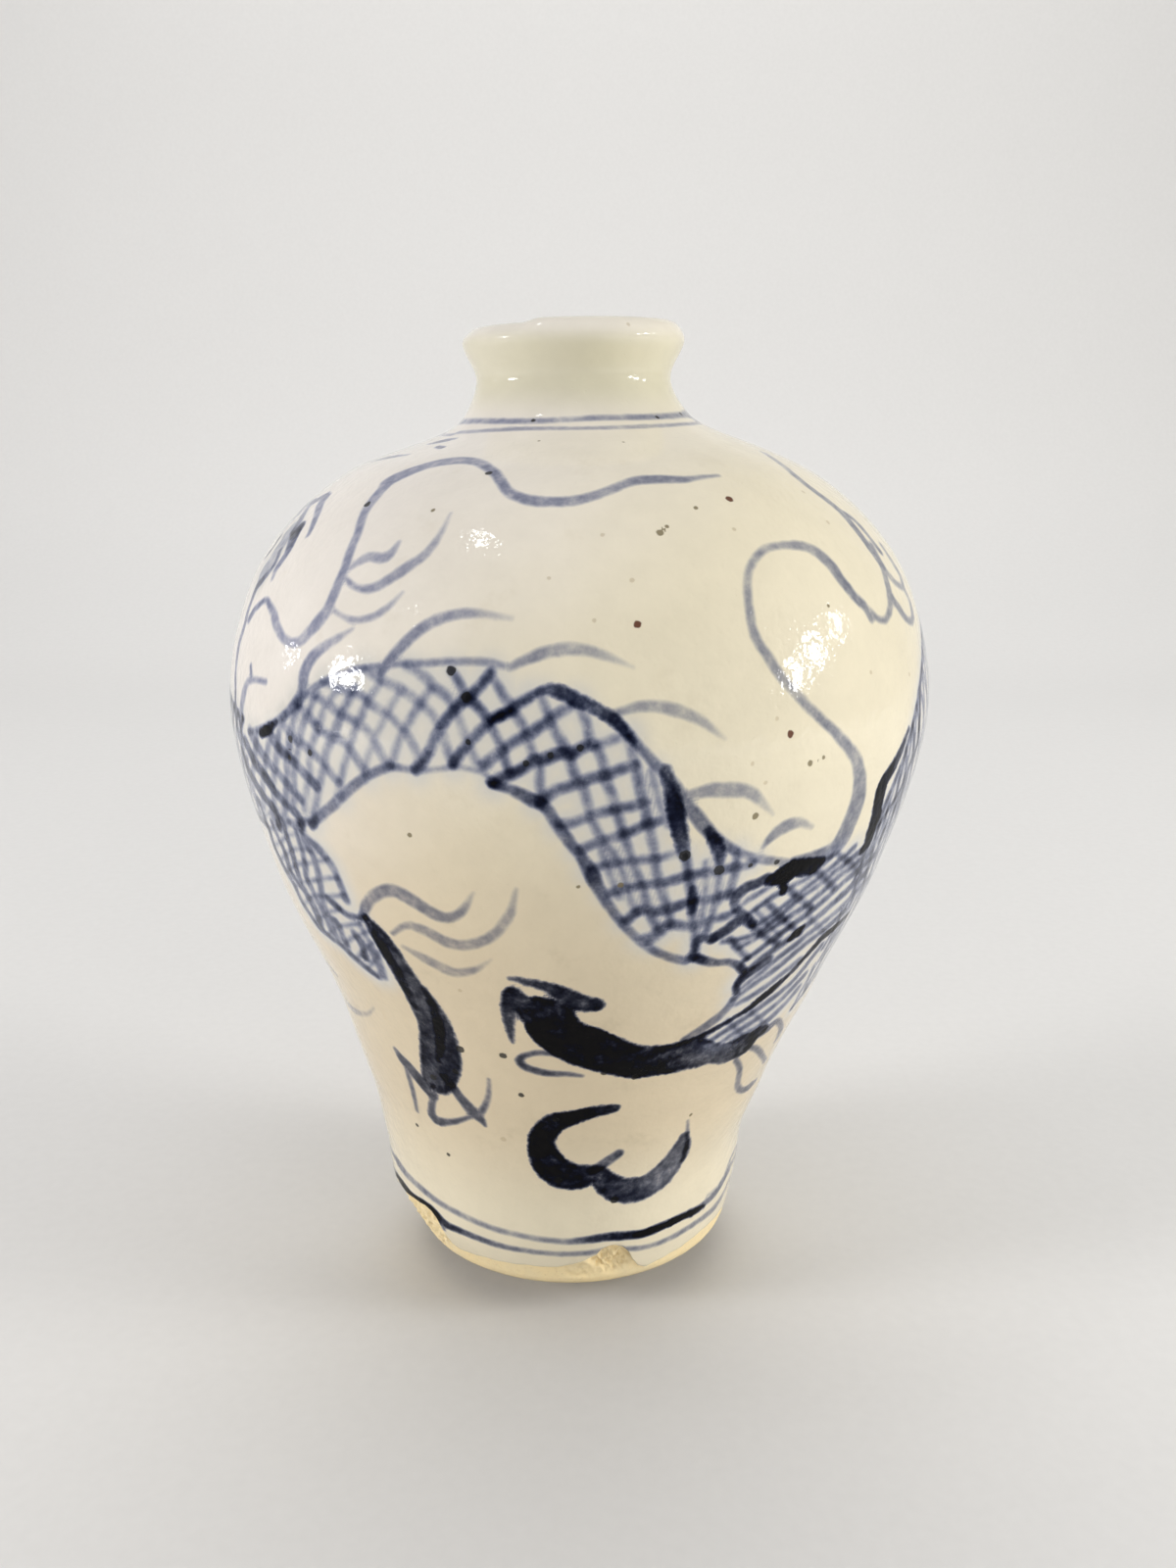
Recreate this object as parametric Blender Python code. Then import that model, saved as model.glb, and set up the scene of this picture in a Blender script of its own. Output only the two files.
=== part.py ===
"""A wheel-thrown porcelain jar with a small rolled mouth, in metres, +Z up.

The jar is thrown in four sections that are luted together with slip, trimmed, glazed
inside and out, and fired. The origin lies under the belly, on the plane the foot rests on.
Every profile is a list of (radius, height) pairs, turned about the jar's axis.
"""
import math

import bmesh
import bpy
import numpy as np
from mathutils import Matrix, Vector

# Coats and clearances
GLAZE_THICKNESS = 0.0005
GAP = 0.0003
SLIP_THICKNESS = 0.0008
SEAM_BEVEL = 0.0012

# Foot: the ring that the jar rests on, and the recess turned out inside it
REST_RADIUS = 0.0338
RECESS_RADIUS = 0.0272
RECESS_DEPTH = 0.0035
RECESS_BEVEL = 0.0010
BARE_FOOT = 0.0045

# Outside of the glazed jar: its height, shared out in proportion to each section's rise
JAR_HEIGHT = 0.1988
BEVEL_RISE = 0.0024
FOOT_RISE = 0.0096
WAIST_RISE = 0.0120
CALF_RISE = 0.0160
FLANK_RISE = 0.0250
SWELL_RISE = 0.0250
BELLY_RISE = 0.0340
SHOULDER_RISE = 0.0240
SHOULDER_TOP_RISE = 0.0120
SHOULDER_EDGE_RISE = 0.0100
NECK_FOOT_RISE = 0.0089
NECK_BEND_RISE = 0.0026
NECK_RISE = 0.0065
LIP_RISE = 0.0076
CREST_RISE = 0.0032

# The radius at the top of each of those sections
BEVEL_RADIUS = 0.0368
FOOT_RADIUS = 0.0399
WAIST_RADIUS = 0.0415
CALF_RADIUS = 0.0460
FLANK_RADIUS = 0.0554
SWELL_RADIUS = 0.0660
BELLY_RADIUS = 0.0736
SHOULDER_RADIUS = 0.0681
SHOULDER_TOP_RADIUS = 0.0599
SHOULDER_EDGE_RADIUS = 0.0473
NECK_FOOT_RADIUS = 0.0256
NECK_BEND_RADIUS = 0.0227
NECK_RADIUS = 0.0199
LIP_RADIUS = 0.0226
CREST_RADIUS = 0.0200

# Mouth: the rim rounds over from the crest into a straight throat
THROAT_RADIUS = 0.0155
RIM_DROP = 0.0022
RIM_INSET = 0.0007
THROAT_DROP = 0.0045
RIM_GLAZE_DEPTH = 0.0060

# Inside: the wall from glaze face to glaze face, and the floor
BASE_WALL = 0.0085
BODY_WALL = 0.0058
FLOOR_THICKNESS = 0.0062
FLOOR_FILLET = 0.0100

# How far the thrown axis wanders to +X, and the tilt of the neck, low on its -X side
REST_SHIFT = -0.0022
FOOT_SHIFT = -0.0039
CALF_SHIFT = -0.0027
FLANK_SHIFT = -0.0010
BELLY_SHIFT = 0.0
SHOULDER_SHIFT = 0.0002
NECK_SHIFT = -0.0012
NECK_TILT = math.radians(1.1)

# Facets
SEGMENTS = 40
STEP_LENGTH = 0.023
STEP_ANGLE = math.radians(20)
CURVE_SAMPLES = 24
FILLET_STEPS = 4

# Colour, roughness and metallic value of each material
FINISHES = {
    "clay": ((0.74, 0.62, 0.44), 0.75, 0.0),
    "slip": ((0.70, 0.58, 0.42), 0.80, 0.0),
    "glaze": ((0.75, 0.68, 0.55), 0.12, 0.0),
}

CLAY_DEPTH = GLAZE_THICKNESS + GAP
NECK_WALL = NECK_RADIUS - THROAT_RADIUS
FLOOR_TOP = RECESS_DEPTH + FLOOR_THICKNESS + CLAY_DEPTH
MERGE_DISTANCE = 1e-6

# The outside's stations: name, rise from the one before, radius
OUTSIDE = (
    ("bevel", BEVEL_RISE, BEVEL_RADIUS),
    ("foot", FOOT_RISE, FOOT_RADIUS),
    ("waist", WAIST_RISE, WAIST_RADIUS),
    ("calf", CALF_RISE, CALF_RADIUS),
    ("flank", FLANK_RISE, FLANK_RADIUS),
    ("swell", SWELL_RISE, SWELL_RADIUS),
    ("belly", BELLY_RISE, BELLY_RADIUS),
    ("shoulder", SHOULDER_RISE, SHOULDER_RADIUS),
    ("shoulder_top", SHOULDER_TOP_RISE, SHOULDER_TOP_RADIUS),
    ("shoulder_edge", SHOULDER_EDGE_RISE, SHOULDER_EDGE_RADIUS),
    ("neck_foot", NECK_FOOT_RISE, NECK_FOOT_RADIUS),
    ("neck_bend", NECK_BEND_RISE, NECK_BEND_RADIUS),
    ("neck", NECK_RISE, NECK_RADIUS),
    ("lip", LIP_RISE, LIP_RADIUS),
    ("crest", CREST_RISE, CREST_RADIUS),
)


def station_points():
    """The curve's stations by name: up the outside, over the rim and down the throat."""
    stations = {}
    stretch = JAR_HEIGHT / sum(rise for _, rise, _ in OUTSIDE)
    height = 0.0
    for name, rise, radius in OUTSIDE:
        height += rise * stretch
        stations[name] = (radius, height)
    neck_height = stations["neck"][1]
    stations["rim"] = (THROAT_RADIUS + RIM_INSET, height - RIM_DROP)
    stations["throat"] = (THROAT_RADIUS, height - RIM_DROP - THROAT_DROP)
    stations["throat_end"] = (THROAT_RADIUS, neck_height)
    return stations


STATIONS = station_points()
HEIGHTS = {name: point[1] for name, point in STATIONS.items()}


def curve_through(points):
    """A centripetal Catmull-Rom curve through the points, with CURVE_SAMPLES a stretch."""
    knots = np.array(points)
    knots = np.vstack([2 * knots[0] - knots[1], knots, 2 * knots[-1] - knots[-2]])
    samples = []
    for i in range(1, len(knots) - 2):
        p = knots[i - 1:i + 3]
        t = np.concatenate([[0.0], np.cumsum(np.sqrt(np.linalg.norm(np.diff(p, axis=0), axis=1)))])
        for u in np.linspace(t[1], t[2], CURVE_SAMPLES, endpoint=False):
            a = [((t[k + 1] - u) * p[k] + (u - t[k]) * p[k + 1]) / (t[k + 1] - t[k]) for k in range(3)]
            b = [((t[k + 2] - u) * a[k] + (u - t[k]) * a[k + 1]) / (t[k + 2] - t[k]) for k in range(2)]
            samples.append(((t[2] - u) * b[0] + (u - t[1]) * b[1]) / (t[2] - t[1]))
    samples.append(knots[-2])
    return np.array(samples)


def facet_points(curve):
    """The fewest points of the curve that keep each step under the facet limits."""
    steps = np.diff(curve, axis=0)
    lengths = np.linalg.norm(steps, axis=1)
    headings = np.unwrap(np.arctan2(steps[:, 1], steps[:, 0]))
    turns = np.abs(np.diff(headings, append=headings[-1]))
    effort = np.concatenate([[0.0], np.cumsum(lengths / STEP_LENGTH + turns / STEP_ANGLE)])
    marks = np.linspace(0.0, effort[-1], math.ceil(effort[-1]) + 1)
    return np.column_stack([np.interp(marks, effort, curve[:, k]) for k in range(2)])


class Wall:
    """The faceted outside face, and places inside the wall measured from it.

    A place is given by its run along the face, from the foot's bevel, and its depth under it.
    """

    def __init__(self):
        self.face = facet_points(curve_through(list(STATIONS.values())))
        steps = np.diff(self.face, axis=0)
        lengths = np.linalg.norm(steps, axis=1)
        self.runs = np.concatenate([[0.0], np.cumsum(lengths)])
        sides = np.column_stack([steps[:, 1], -steps[:, 0]]) / lengths[:, None]
        before = np.vstack([sides[:1], sides])
        after = np.vstack([sides, sides[-1:]])
        mitres = before + after
        self.outward = mitres / (1.0 + np.sum(before * after, axis=1))[:, None]
        self.crest_run = self.runs[np.argmax(self.face[:, 1])]
        self.neck_run = self.run_at(HEIGHTS["neck"])

    def run_at(self, height):
        """The run at which the outside passes a height."""
        outside = self.runs <= self.crest_run
        return float(np.interp(height, self.face[outside, 1], self.runs[outside]))

    def thickness(self, run):
        """The wall from glaze face to glaze face, square to the outside."""
        stops = [self.run_at(HEIGHTS[name]) for name in ("waist", "swell", "shoulder_edge", "neck")]
        return float(np.interp(run, stops, [BASE_WALL, BODY_WALL, BODY_WALL, NECK_WALL]))

    def place(self, run, depth):
        """The point at a run and a depth, on a face parallel to the outside's facets."""
        facets = self.face - depth * self.outward
        return tuple(float(np.interp(run, self.runs, facets[:, k])) for k in range(2))

    def stops(self, start, end):
        """The start, the facet corners between and the end, in that order."""
        low, high = sorted((start, end))
        inner = [float(run) for run in self.runs if low + GAP < run < high - GAP]
        ordered = [low, *inner, high]
        return ordered if start < end else ordered[::-1]

    def outer_line(self, start, end, depth):
        """Points along the outside at one depth."""
        return [self.place(run, depth) for run in self.stops(start, end)]

    def inner_line(self, start, end, cover):
        """Points along the inside, under a cover of that thickness."""
        return [self.inner_place(run, cover) for run in self.stops(start, end)]

    def inner_place(self, run, cover):
        """The point on the inside at a run, under a cover."""
        return self.place(run, self.thickness(run) - cover)


def fillet_centre(wall, run):
    """The floor fillet's centre and the wall's heading, where the fillet starts at a run."""
    surface = np.array(wall.inner_place(run, 0.0))
    outward = np.array([float(np.interp(run, wall.runs, wall.outward[:, k])) for k in range(2)])
    outward /= np.linalg.norm(outward)
    return surface - FLOOR_FILLET * outward, math.atan2(outward[1], outward[0])


def floor_run(wall):
    """The run whose fillet comes down to the floor's height."""
    runs = np.linspace(0.0, wall.run_at(HEIGHTS["belly"]), 200)
    levels = [fillet_centre(wall, run)[0][1] - FLOOR_FILLET for run in runs]
    return float(np.interp(FLOOR_TOP, levels, runs))


def floor_line(wall, cover):
    """Points from the wall round the fillet and over the floor to the axis, under a cover."""
    centre, heading = fillet_centre(wall, floor_run(wall))
    radius = FLOOR_FILLET + cover
    angles = np.linspace(heading, -math.pi / 2, FILLET_STEPS + 1)[1:]
    arc = [(centre[0] + radius * math.cos(a), centre[1] + radius * math.sin(a)) for a in angles]
    return arc + [(0.0, FLOOR_TOP - cover)]


def section_edge(wall, joint, side):
    """A section's bevelled edge at a joint, from the outside in; side is 1 above, -1 below."""
    face = joint + side * (SLIP_THICKNESS / 2 + GAP)
    corner = face + side * SEAM_BEVEL
    inner_depth = wall.thickness(joint) - CLAY_DEPTH
    return [
        wall.place(corner, CLAY_DEPTH),
        wall.place(face, CLAY_DEPTH + SEAM_BEVEL),
        wall.place(face, inner_depth - SEAM_BEVEL),
        wall.inner_place(corner, CLAY_DEPTH),
    ]


def edge_run(joint, side):
    """The run at which a section's bevelled edge starts."""
    return joint + side * (SLIP_THICKNESS / 2 + GAP + SEAM_BEVEL)


def slip_profile(wall, joint):
    """The slip between two bevelled edges: a web with a wedge at each face."""
    web = SLIP_THICKNESS / 2
    wedge = web + SEAM_BEVEL
    inner_depth = wall.thickness(joint) - CLAY_DEPTH
    lower = [
        wall.place(joint - wedge, CLAY_DEPTH),
        wall.place(joint - web, CLAY_DEPTH + SEAM_BEVEL),
        wall.place(joint - web, inner_depth - SEAM_BEVEL),
        wall.inner_place(joint - wedge, CLAY_DEPTH),
    ]
    upper = [
        wall.inner_place(joint + wedge, CLAY_DEPTH),
        wall.place(joint + web, inner_depth - SEAM_BEVEL),
        wall.place(joint + web, CLAY_DEPTH + SEAM_BEVEL),
        wall.place(joint + wedge, CLAY_DEPTH),
    ]
    return lower + upper


def ring_profile(wall, low_joint, high_joint):
    """A section between two joints."""
    low = edge_run(low_joint, 1)
    high = edge_run(high_joint, -1)
    outside = wall.outer_line(low, high, CLAY_DEPTH)
    inside = wall.inner_line(high, low, CLAY_DEPTH)
    top = section_edge(wall, high_joint, -1)[1:-1]
    bottom = section_edge(wall, low_joint, 1)[1:-1]
    return outside + top + inside + bottom[::-1]


def base_profile(wall, joint):
    """The bottom section: foot ring, recess, floor and the start of the wall."""
    top_run = edge_run(joint, -1)
    underside = [
        (0.0, RECESS_DEPTH),
        (RECESS_RADIUS - RECESS_BEVEL, RECESS_DEPTH),
        (RECESS_RADIUS, RECESS_DEPTH - RECESS_BEVEL),
        (RECESS_RADIUS, 0.0),
        (REST_RADIUS, 0.0),
    ]
    outside = wall.outer_line(0.0, top_run, CLAY_DEPTH)
    top = section_edge(wall, joint, -1)[1:-1]
    inside = wall.inner_line(top_run, floor_run(wall), CLAY_DEPTH)
    return underside + outside + top + inside + floor_line(wall, CLAY_DEPTH)


def neck_profile(wall, joint):
    """The top section: neck, rolled lip and throat."""
    low = edge_run(joint, 1)
    throat_end = wall.runs[-1] - THROAT_DROP / 2
    outside = wall.outer_line(low, throat_end, CLAY_DEPTH)
    inside = wall.inner_line(wall.neck_run, low, CLAY_DEPTH)
    bottom = section_edge(wall, joint, 1)[1:-1]
    return outside + inside + bottom[::-1]


def rim_glaze_run(wall):
    """The run in the throat at which the outer coat ends."""
    throat = wall.runs > wall.crest_run
    depths = HEIGHTS["crest"] - wall.face[throat, 1]
    return float(np.interp(RIM_GLAZE_DEPTH, depths, wall.runs[throat]))


def outer_glaze_profile(wall):
    """The coat from the bare foot up, over the lip and into the mouth."""
    start = wall.run_at(BARE_FOOT)
    end = rim_glaze_run(wall)
    return wall.outer_line(start, end, 0.0) + wall.outer_line(end, start, GLAZE_THICKNESS)


def inner_glaze_profile(wall):
    """The coat from the outer coat's edge down the throat, the wall and over the floor."""
    start = rim_glaze_run(wall) + GAP
    throat_end = wall.runs[-1] - THROAT_DROP / 2

    def face(cover):
        throat = wall.outer_line(start, throat_end, cover)
        inside = wall.inner_line(wall.neck_run, floor_run(wall), cover)
        return throat + inside + floor_line(wall, cover)

    return face(0.0) + face(GLAZE_THICKNESS)[::-1]


def smooth_step(value, low, high):
    """0 below low, 1 above high and smooth between."""
    share = min(max((value - low) / (high - low), 0.0), 1.0)
    return share * share * (3.0 - 2.0 * share)


def axis_shift(height):
    """How far the axis lies to +X at a height, as a smooth chain of steps."""
    chain = (
        (0.0, REST_SHIFT),
        (HEIGHTS["foot"], FOOT_SHIFT),
        (HEIGHTS["waist"], FOOT_SHIFT),
        (HEIGHTS["calf"], CALF_SHIFT),
        (HEIGHTS["flank"], FLANK_SHIFT),
        (HEIGHTS["belly"], BELLY_SHIFT),
        (HEIGHTS["shoulder_edge"], SHOULDER_SHIFT),
        (HEIGHTS["neck"], NECK_SHIFT),
    )
    shift = REST_SHIFT
    for (low, before), (high, after) in zip(chain[:-1], chain[1:]):
        shift += (after - before) * smooth_step(height, low, high)
    return shift


def settle(point):
    """A turned point moved to where the hand-thrown clay really stands."""
    tilt = math.tan(NECK_TILT) * smooth_step(point.z, HEIGHTS["shoulder_edge"], HEIGHTS["neck_foot"])
    return Vector((point.x + axis_shift(point.z), point.y, point.z + tilt * point.x))


def make_material(name):
    """A Principled BSDF material of a named finish."""
    colour, roughness, metallic = FINISHES[name]
    material = bpy.data.materials.new(name)
    material.use_nodes = True
    shader = material.node_tree.nodes["Principled BSDF"]
    shader.inputs["Base Color"].default_value = (*colour, 1.0)
    shader.inputs["Roughness"].default_value = roughness
    shader.inputs["Metallic"].default_value = metallic
    return material


def turned_piece(name, profile, finish):
    """A profile turned about the axis into a closed piece."""
    shape = bmesh.new()
    verts = [shape.verts.new((radius, 0.0, height)) for radius, height in profile]
    for first, second in zip(verts[:-1], verts[1:]):
        shape.edges.new((first, second))
    if profile[0][0] > 0.0:
        shape.edges.new((verts[-1], verts[0]))
    bmesh.ops.spin(
        shape, geom=shape.verts[:] + shape.edges[:], cent=(0, 0, 0), axis=(0, 0, 1),
        dvec=(0, 0, 0), angle=2 * math.pi, steps=SEGMENTS, use_merge=True,
    )
    bmesh.ops.remove_doubles(shape, verts=shape.verts[:], dist=MERGE_DISTANCE)
    bmesh.ops.recalc_face_normals(shape, faces=shape.faces[:])
    for vert in shape.verts:
        vert.co = settle(vert.co)
    mesh = bpy.data.meshes.new(name)
    shape.to_mesh(mesh)
    shape.free()
    mesh.materials.append(make_material(finish))
    mesh.shade_smooth()
    mesh.set_sharp_from_angle(angle=math.radians(40))
    piece = bpy.data.objects.new(name, mesh)
    piece.matrix_world = Matrix.Identity(4)
    bpy.context.scene.collection.objects.link(piece)
    return piece


def clear_scene():
    """Remove whatever the scene holds."""
    for thing in list(bpy.data.objects):
        bpy.data.objects.remove(thing)


def build_jar():
    """Every piece of the jar, from the foot up."""
    wall = Wall()
    base_joint = wall.run_at(HEIGHTS["waist"])
    belly_joint = wall.run_at(HEIGHTS["belly"])
    neck_joint = wall.run_at(HEIGHTS["neck_foot"])
    turned_piece("foot_and_floor", base_profile(wall, base_joint), "clay")
    turned_piece("lower_body", ring_profile(wall, base_joint, belly_joint), "clay")
    turned_piece("upper_body", ring_profile(wall, belly_joint, neck_joint), "clay")
    turned_piece("neck_and_lip", neck_profile(wall, neck_joint), "clay")
    turned_piece("base_joint_slip", slip_profile(wall, base_joint), "slip")
    turned_piece("belly_joint_slip", slip_profile(wall, belly_joint), "slip")
    turned_piece("neck_joint_slip", slip_profile(wall, neck_joint), "slip")
    turned_piece("outer_glaze", outer_glaze_profile(wall), "glaze")
    turned_piece("inner_glaze", inner_glaze_profile(wall), "glaze")


clear_scene()
build_jar()
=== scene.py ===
import math

import bpy
import numpy as np
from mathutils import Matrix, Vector, kdtree
from mathutils.bvhtree import BVHTree


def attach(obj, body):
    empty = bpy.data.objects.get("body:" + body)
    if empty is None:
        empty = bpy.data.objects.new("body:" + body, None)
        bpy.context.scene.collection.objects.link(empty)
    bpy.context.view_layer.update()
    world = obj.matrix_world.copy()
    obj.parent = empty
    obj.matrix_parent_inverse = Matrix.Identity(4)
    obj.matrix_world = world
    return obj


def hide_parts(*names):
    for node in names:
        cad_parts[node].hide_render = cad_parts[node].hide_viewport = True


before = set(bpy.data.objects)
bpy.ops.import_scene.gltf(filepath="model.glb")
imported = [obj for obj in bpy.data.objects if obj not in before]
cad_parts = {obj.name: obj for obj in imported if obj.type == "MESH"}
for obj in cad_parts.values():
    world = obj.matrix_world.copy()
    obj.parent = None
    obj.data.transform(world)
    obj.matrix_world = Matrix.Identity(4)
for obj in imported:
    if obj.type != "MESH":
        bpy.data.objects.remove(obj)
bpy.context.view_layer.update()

MM = 0.001
RNG = np.random.default_rng(7)

# Outside of the glazed jar: (radius, height) stations from the foot's bevel to the throat's end.
STATIONS = [
    (36.8, 2.4), (39.9, 12.0), (41.5, 24.0), (46.0, 40.0), (55.4, 65.0), (66.0, 90.0), (73.6, 124.0),
    (68.1, 148.0), (59.9, 160.0), (47.3, 170.0), (25.6, 178.9), (22.7, 181.5), (19.9, 188.0), (22.6, 195.6),
    (20.0, 198.8), (16.2, 196.6), (15.5, 192.1), (15.5, 188.0),
]
THROAT_END = 192.8
# The thrown axis leans: (height, shift in x), and above the shoulder a tilt as well.
SHIFTS = [
    (0.0, -2.2), (12.0, -3.9), (24.0, -3.9), (40.0, -2.7), (65.0, -1.0), (124.0, 0.0), (170.0, 0.2),
    (188.0, -1.2),
]
TILT = math.tan(math.radians(1.1))
TILT_FROM, TILT_TO = 170.0, 178.9
STRETCH_SAMPLES = 160

# The thrower's hand: where it shows, how deep, and the dip in the lip's front left (degrees, heights).
HAND_STARTS, HAND_ENDS = (16.0, 30.0), (183.0, 188.0)
RING_DEPTHS = (0.020, 0.012)
GIRTH_DEPTHS = (0.10, 0.06)
LIP_DIP = 0.75
DIP_STARTS, DIP_ENDS, DIP_HEIGHTS = (-150.0, -100.0), (-30.0, -17.0), (195.4, 198.2)

# Skin: the glaze coat, its rolled lower edge and the clay under it.
COAT = 0.36
EDGE_ROLL = 0.7
EDGE_DROP = 0.30
CLAY_DEPTH = 0.40
BARE_HEIGHT = 4.4
ROW_STEP = 0.47
FIXED_FROM = 30.0
# Columns of the glaze: (first azimuth, last azimuth, count). Its bands: (name, from height, to height).
QUARTERS = [(-45.0, 45.0, 226), (45.0, 135.0, 208), (135.0, 225.0, 150), (225.0, 315.0, 208)]
BANDS = [
    ("glaze_foot", None, 44.0), ("glaze_calf", 44.0, 92.0), ("glaze_belly", 92.0, 138.0),
    ("glaze_shoulder", 138.0, 174.0), ("glaze_neck", 174.0, None),
]

# The camera of the photograph, in pixels and millimetres
PHOTO_SIZE = (1200, 1600)
FOCAL = 1401.0
CAMERA_AT = Vector((1.76, -293.7, 177.6))
CAMERA_DOWN = math.radians(14.39)
SENSOR = 36.0
JAR_REACH = 290.0
REACH_TRIES = 4


def smooth(value, low, high):
    """0 below low, 1 above high and smooth between."""
    share = np.clip((np.asarray(value, float) - low) / (high - low), 0.0, 1.0)
    return share * share * (3.0 - 2.0 * share)


def axis_shift(height):
    shift = SHIFTS[0][1]
    for (low, before), (high, after) in zip(SHIFTS[:-1], SHIFTS[1:]):
        shift = shift + (after - before) * smooth(height, low, high)
    return shift


def through(points, samples):
    """A centripetal Catmull-Rom curve through points of any dimension."""
    knots = np.array(points, float)
    if len(knots) == 2:
        return knots[0] + np.linspace(0, 1, samples + 1)[:, None] * (knots[1] - knots[0])
    knots = np.vstack([2 * knots[0] - knots[1], knots, 2 * knots[-1] - knots[-2]])
    parts = []
    for i in range(1, len(knots) - 2):
        p = knots[i - 1:i + 3]
        gaps = np.maximum(np.sqrt(np.linalg.norm(np.diff(p, axis=0), axis=1)), 1e-6)
        t = np.concatenate([[0.0], np.cumsum(gaps)])
        u = np.linspace(t[1], t[2], samples, endpoint=False)[:, None]
        a = [((t[k + 1] - u) * p[k] + (u - t[k]) * p[k + 1]) / (t[k + 1] - t[k]) for k in range(3)]
        b = [((t[k + 2] - u) * a[k] + (u - t[k]) * a[k + 1]) / (t[k + 2] - t[k]) for k in range(2)]
        parts.append(((t[2] - u) * b[0] + (u - t[1]) * b[1]) / (t[2] - t[1]))
    parts.append(knots[-2:-1])
    return np.vstack(parts)


def run_lengths(points):
    steps = np.linalg.norm(np.diff(points, axis=0), axis=1)
    return np.concatenate([[0.0], np.cumsum(steps)])


def spread(points, step):
    """The same path with evenly spaced points."""
    runs = run_lengths(points)
    marks = np.linspace(0.0, runs[-1], max(2, int(math.ceil(runs[-1] / step)) + 1))
    return np.column_stack([np.interp(marks, runs, points[:, k]) for k in range(points.shape[1])])


CURVE = through(STATIONS, STRETCH_SAMPLES)
RUNS = run_lengths(CURVE)
CREST = int(np.argmax(CURVE[:, 1]))


def run_at(height, inside=False):
    """The run along the profile at a height, on the outside or down the throat."""
    if inside:
        return float(np.interp(-height, -CURVE[CREST:, 1], RUNS[CREST:]))
    return float(np.interp(height, CURVE[:CREST + 1, 1], RUNS[:CREST + 1]))


def place(radius, height, azimuth):
    """Points of the leaning jar from turned radii and heights, with azimuths in radians."""
    x = radius * np.sin(azimuth)
    y = -radius * np.cos(azimuth)
    tilt = TILT * smooth(height, TILT_FROM, TILT_TO)
    return np.stack([x + axis_shift(height), y, height + tilt * x], axis=-1)


def hand(radius, height, run, azimuth):
    """The thrower's hand: faint throwing rings, an uneven girth and a dip in the lip's front left."""
    fade = smooth(height, *HAND_STARTS) * (1.0 - smooth(height, *HAND_ENDS))
    rings = RING_DEPTHS[0] * np.sin(run * 0.42 + 0.9 * np.sin(azimuth + 0.4))
    rings = rings + RING_DEPTHS[1] * np.sin(run * 0.83 + azimuth)
    girth = GIRTH_DEPTHS[0] * np.cos(2 * azimuth + 0.9)
    girth = girth + GIRTH_DEPTHS[1] * np.cos(3 * azimuth - 0.5 + height * 0.02)
    radius = radius + fade * (rings + girth)
    turn = np.degrees((azimuth + math.pi) % (2 * math.pi) - math.pi)
    dip = smooth(turn, *DIP_STARTS) * (1.0 - smooth(turn, *DIP_ENDS))
    height = height - LIP_DIP * dip * smooth(height, *DIP_HEIGHTS)
    return radius, height


def jar_point(azimuth, height):
    """One point of the smooth jar from an azimuth in degrees and a height."""
    run = run_at(height)
    radius = np.interp(run, RUNS, CURVE[:, 0])
    return place(radius, height, math.radians(azimuth))


SURFACE_STEP = 2.0
SURFACE_COLUMNS = 360


def smooth_jar():
    """A plain jar surface, for throwing paths onto."""
    marks = np.arange(0.0, run_at(THROAT_END, True), SURFACE_STEP)
    radius = np.interp(marks, RUNS, CURVE[:, 0])
    height = np.interp(marks, RUNS, CURVE[:, 1])
    count = SURFACE_COLUMNS
    angles = np.arange(count) * 2 * math.pi / count
    points = place(radius[:, None], height[:, None], angles[None, :]).reshape(-1, 3)
    faces = []
    for i in range(len(marks) - 1):
        for k in range(count):
            n = (k + 1) % count
            faces.append((i * count + k, i * count + n, (i + 1) * count + n, (i + 1) * count + k))
    return BVHTree.FromPolygons([Vector(p) for p in points], faces)


JAR = smooth_jar()
FORWARD = Vector((0, math.cos(CAMERA_DOWN), -math.sin(CAMERA_DOWN)))
UPWARD = Vector((0, math.sin(CAMERA_DOWN), math.cos(CAMERA_DOWN)))


def thrown(pixel):
    """The point of the jar that a pixel of the photograph shows, or the nearest to its ray."""
    u, v = pixel
    ray = FORWARD + Vector((1, 0, 0)) * ((u - PHOTO_SIZE[0] / 2) / FOCAL)
    ray = (ray + UPWARD * ((PHOTO_SIZE[1] / 2 - v) / FOCAL)).normalized()
    hit = JAR.ray_cast(CAMERA_AT, ray)[0]
    if hit is None:
        reach = JAR_REACH
        for _ in range(REACH_TRIES):
            hit = JAR.find_nearest(CAMERA_AT + ray * reach)[0]
            reach = (hit - CAMERA_AT).dot(ray)
    return np.array(hit)


def on_jar(points):
    """Points pulled onto the jar's surface."""
    return np.array([JAR.find_nearest(Vector(p))[0] for p in points])


def azimuth_of(point):
    """Azimuth in degrees of a point on the jar."""
    return math.degrees(math.atan2(point[0] - axis_shift(point[2]), -point[1]))


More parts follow.
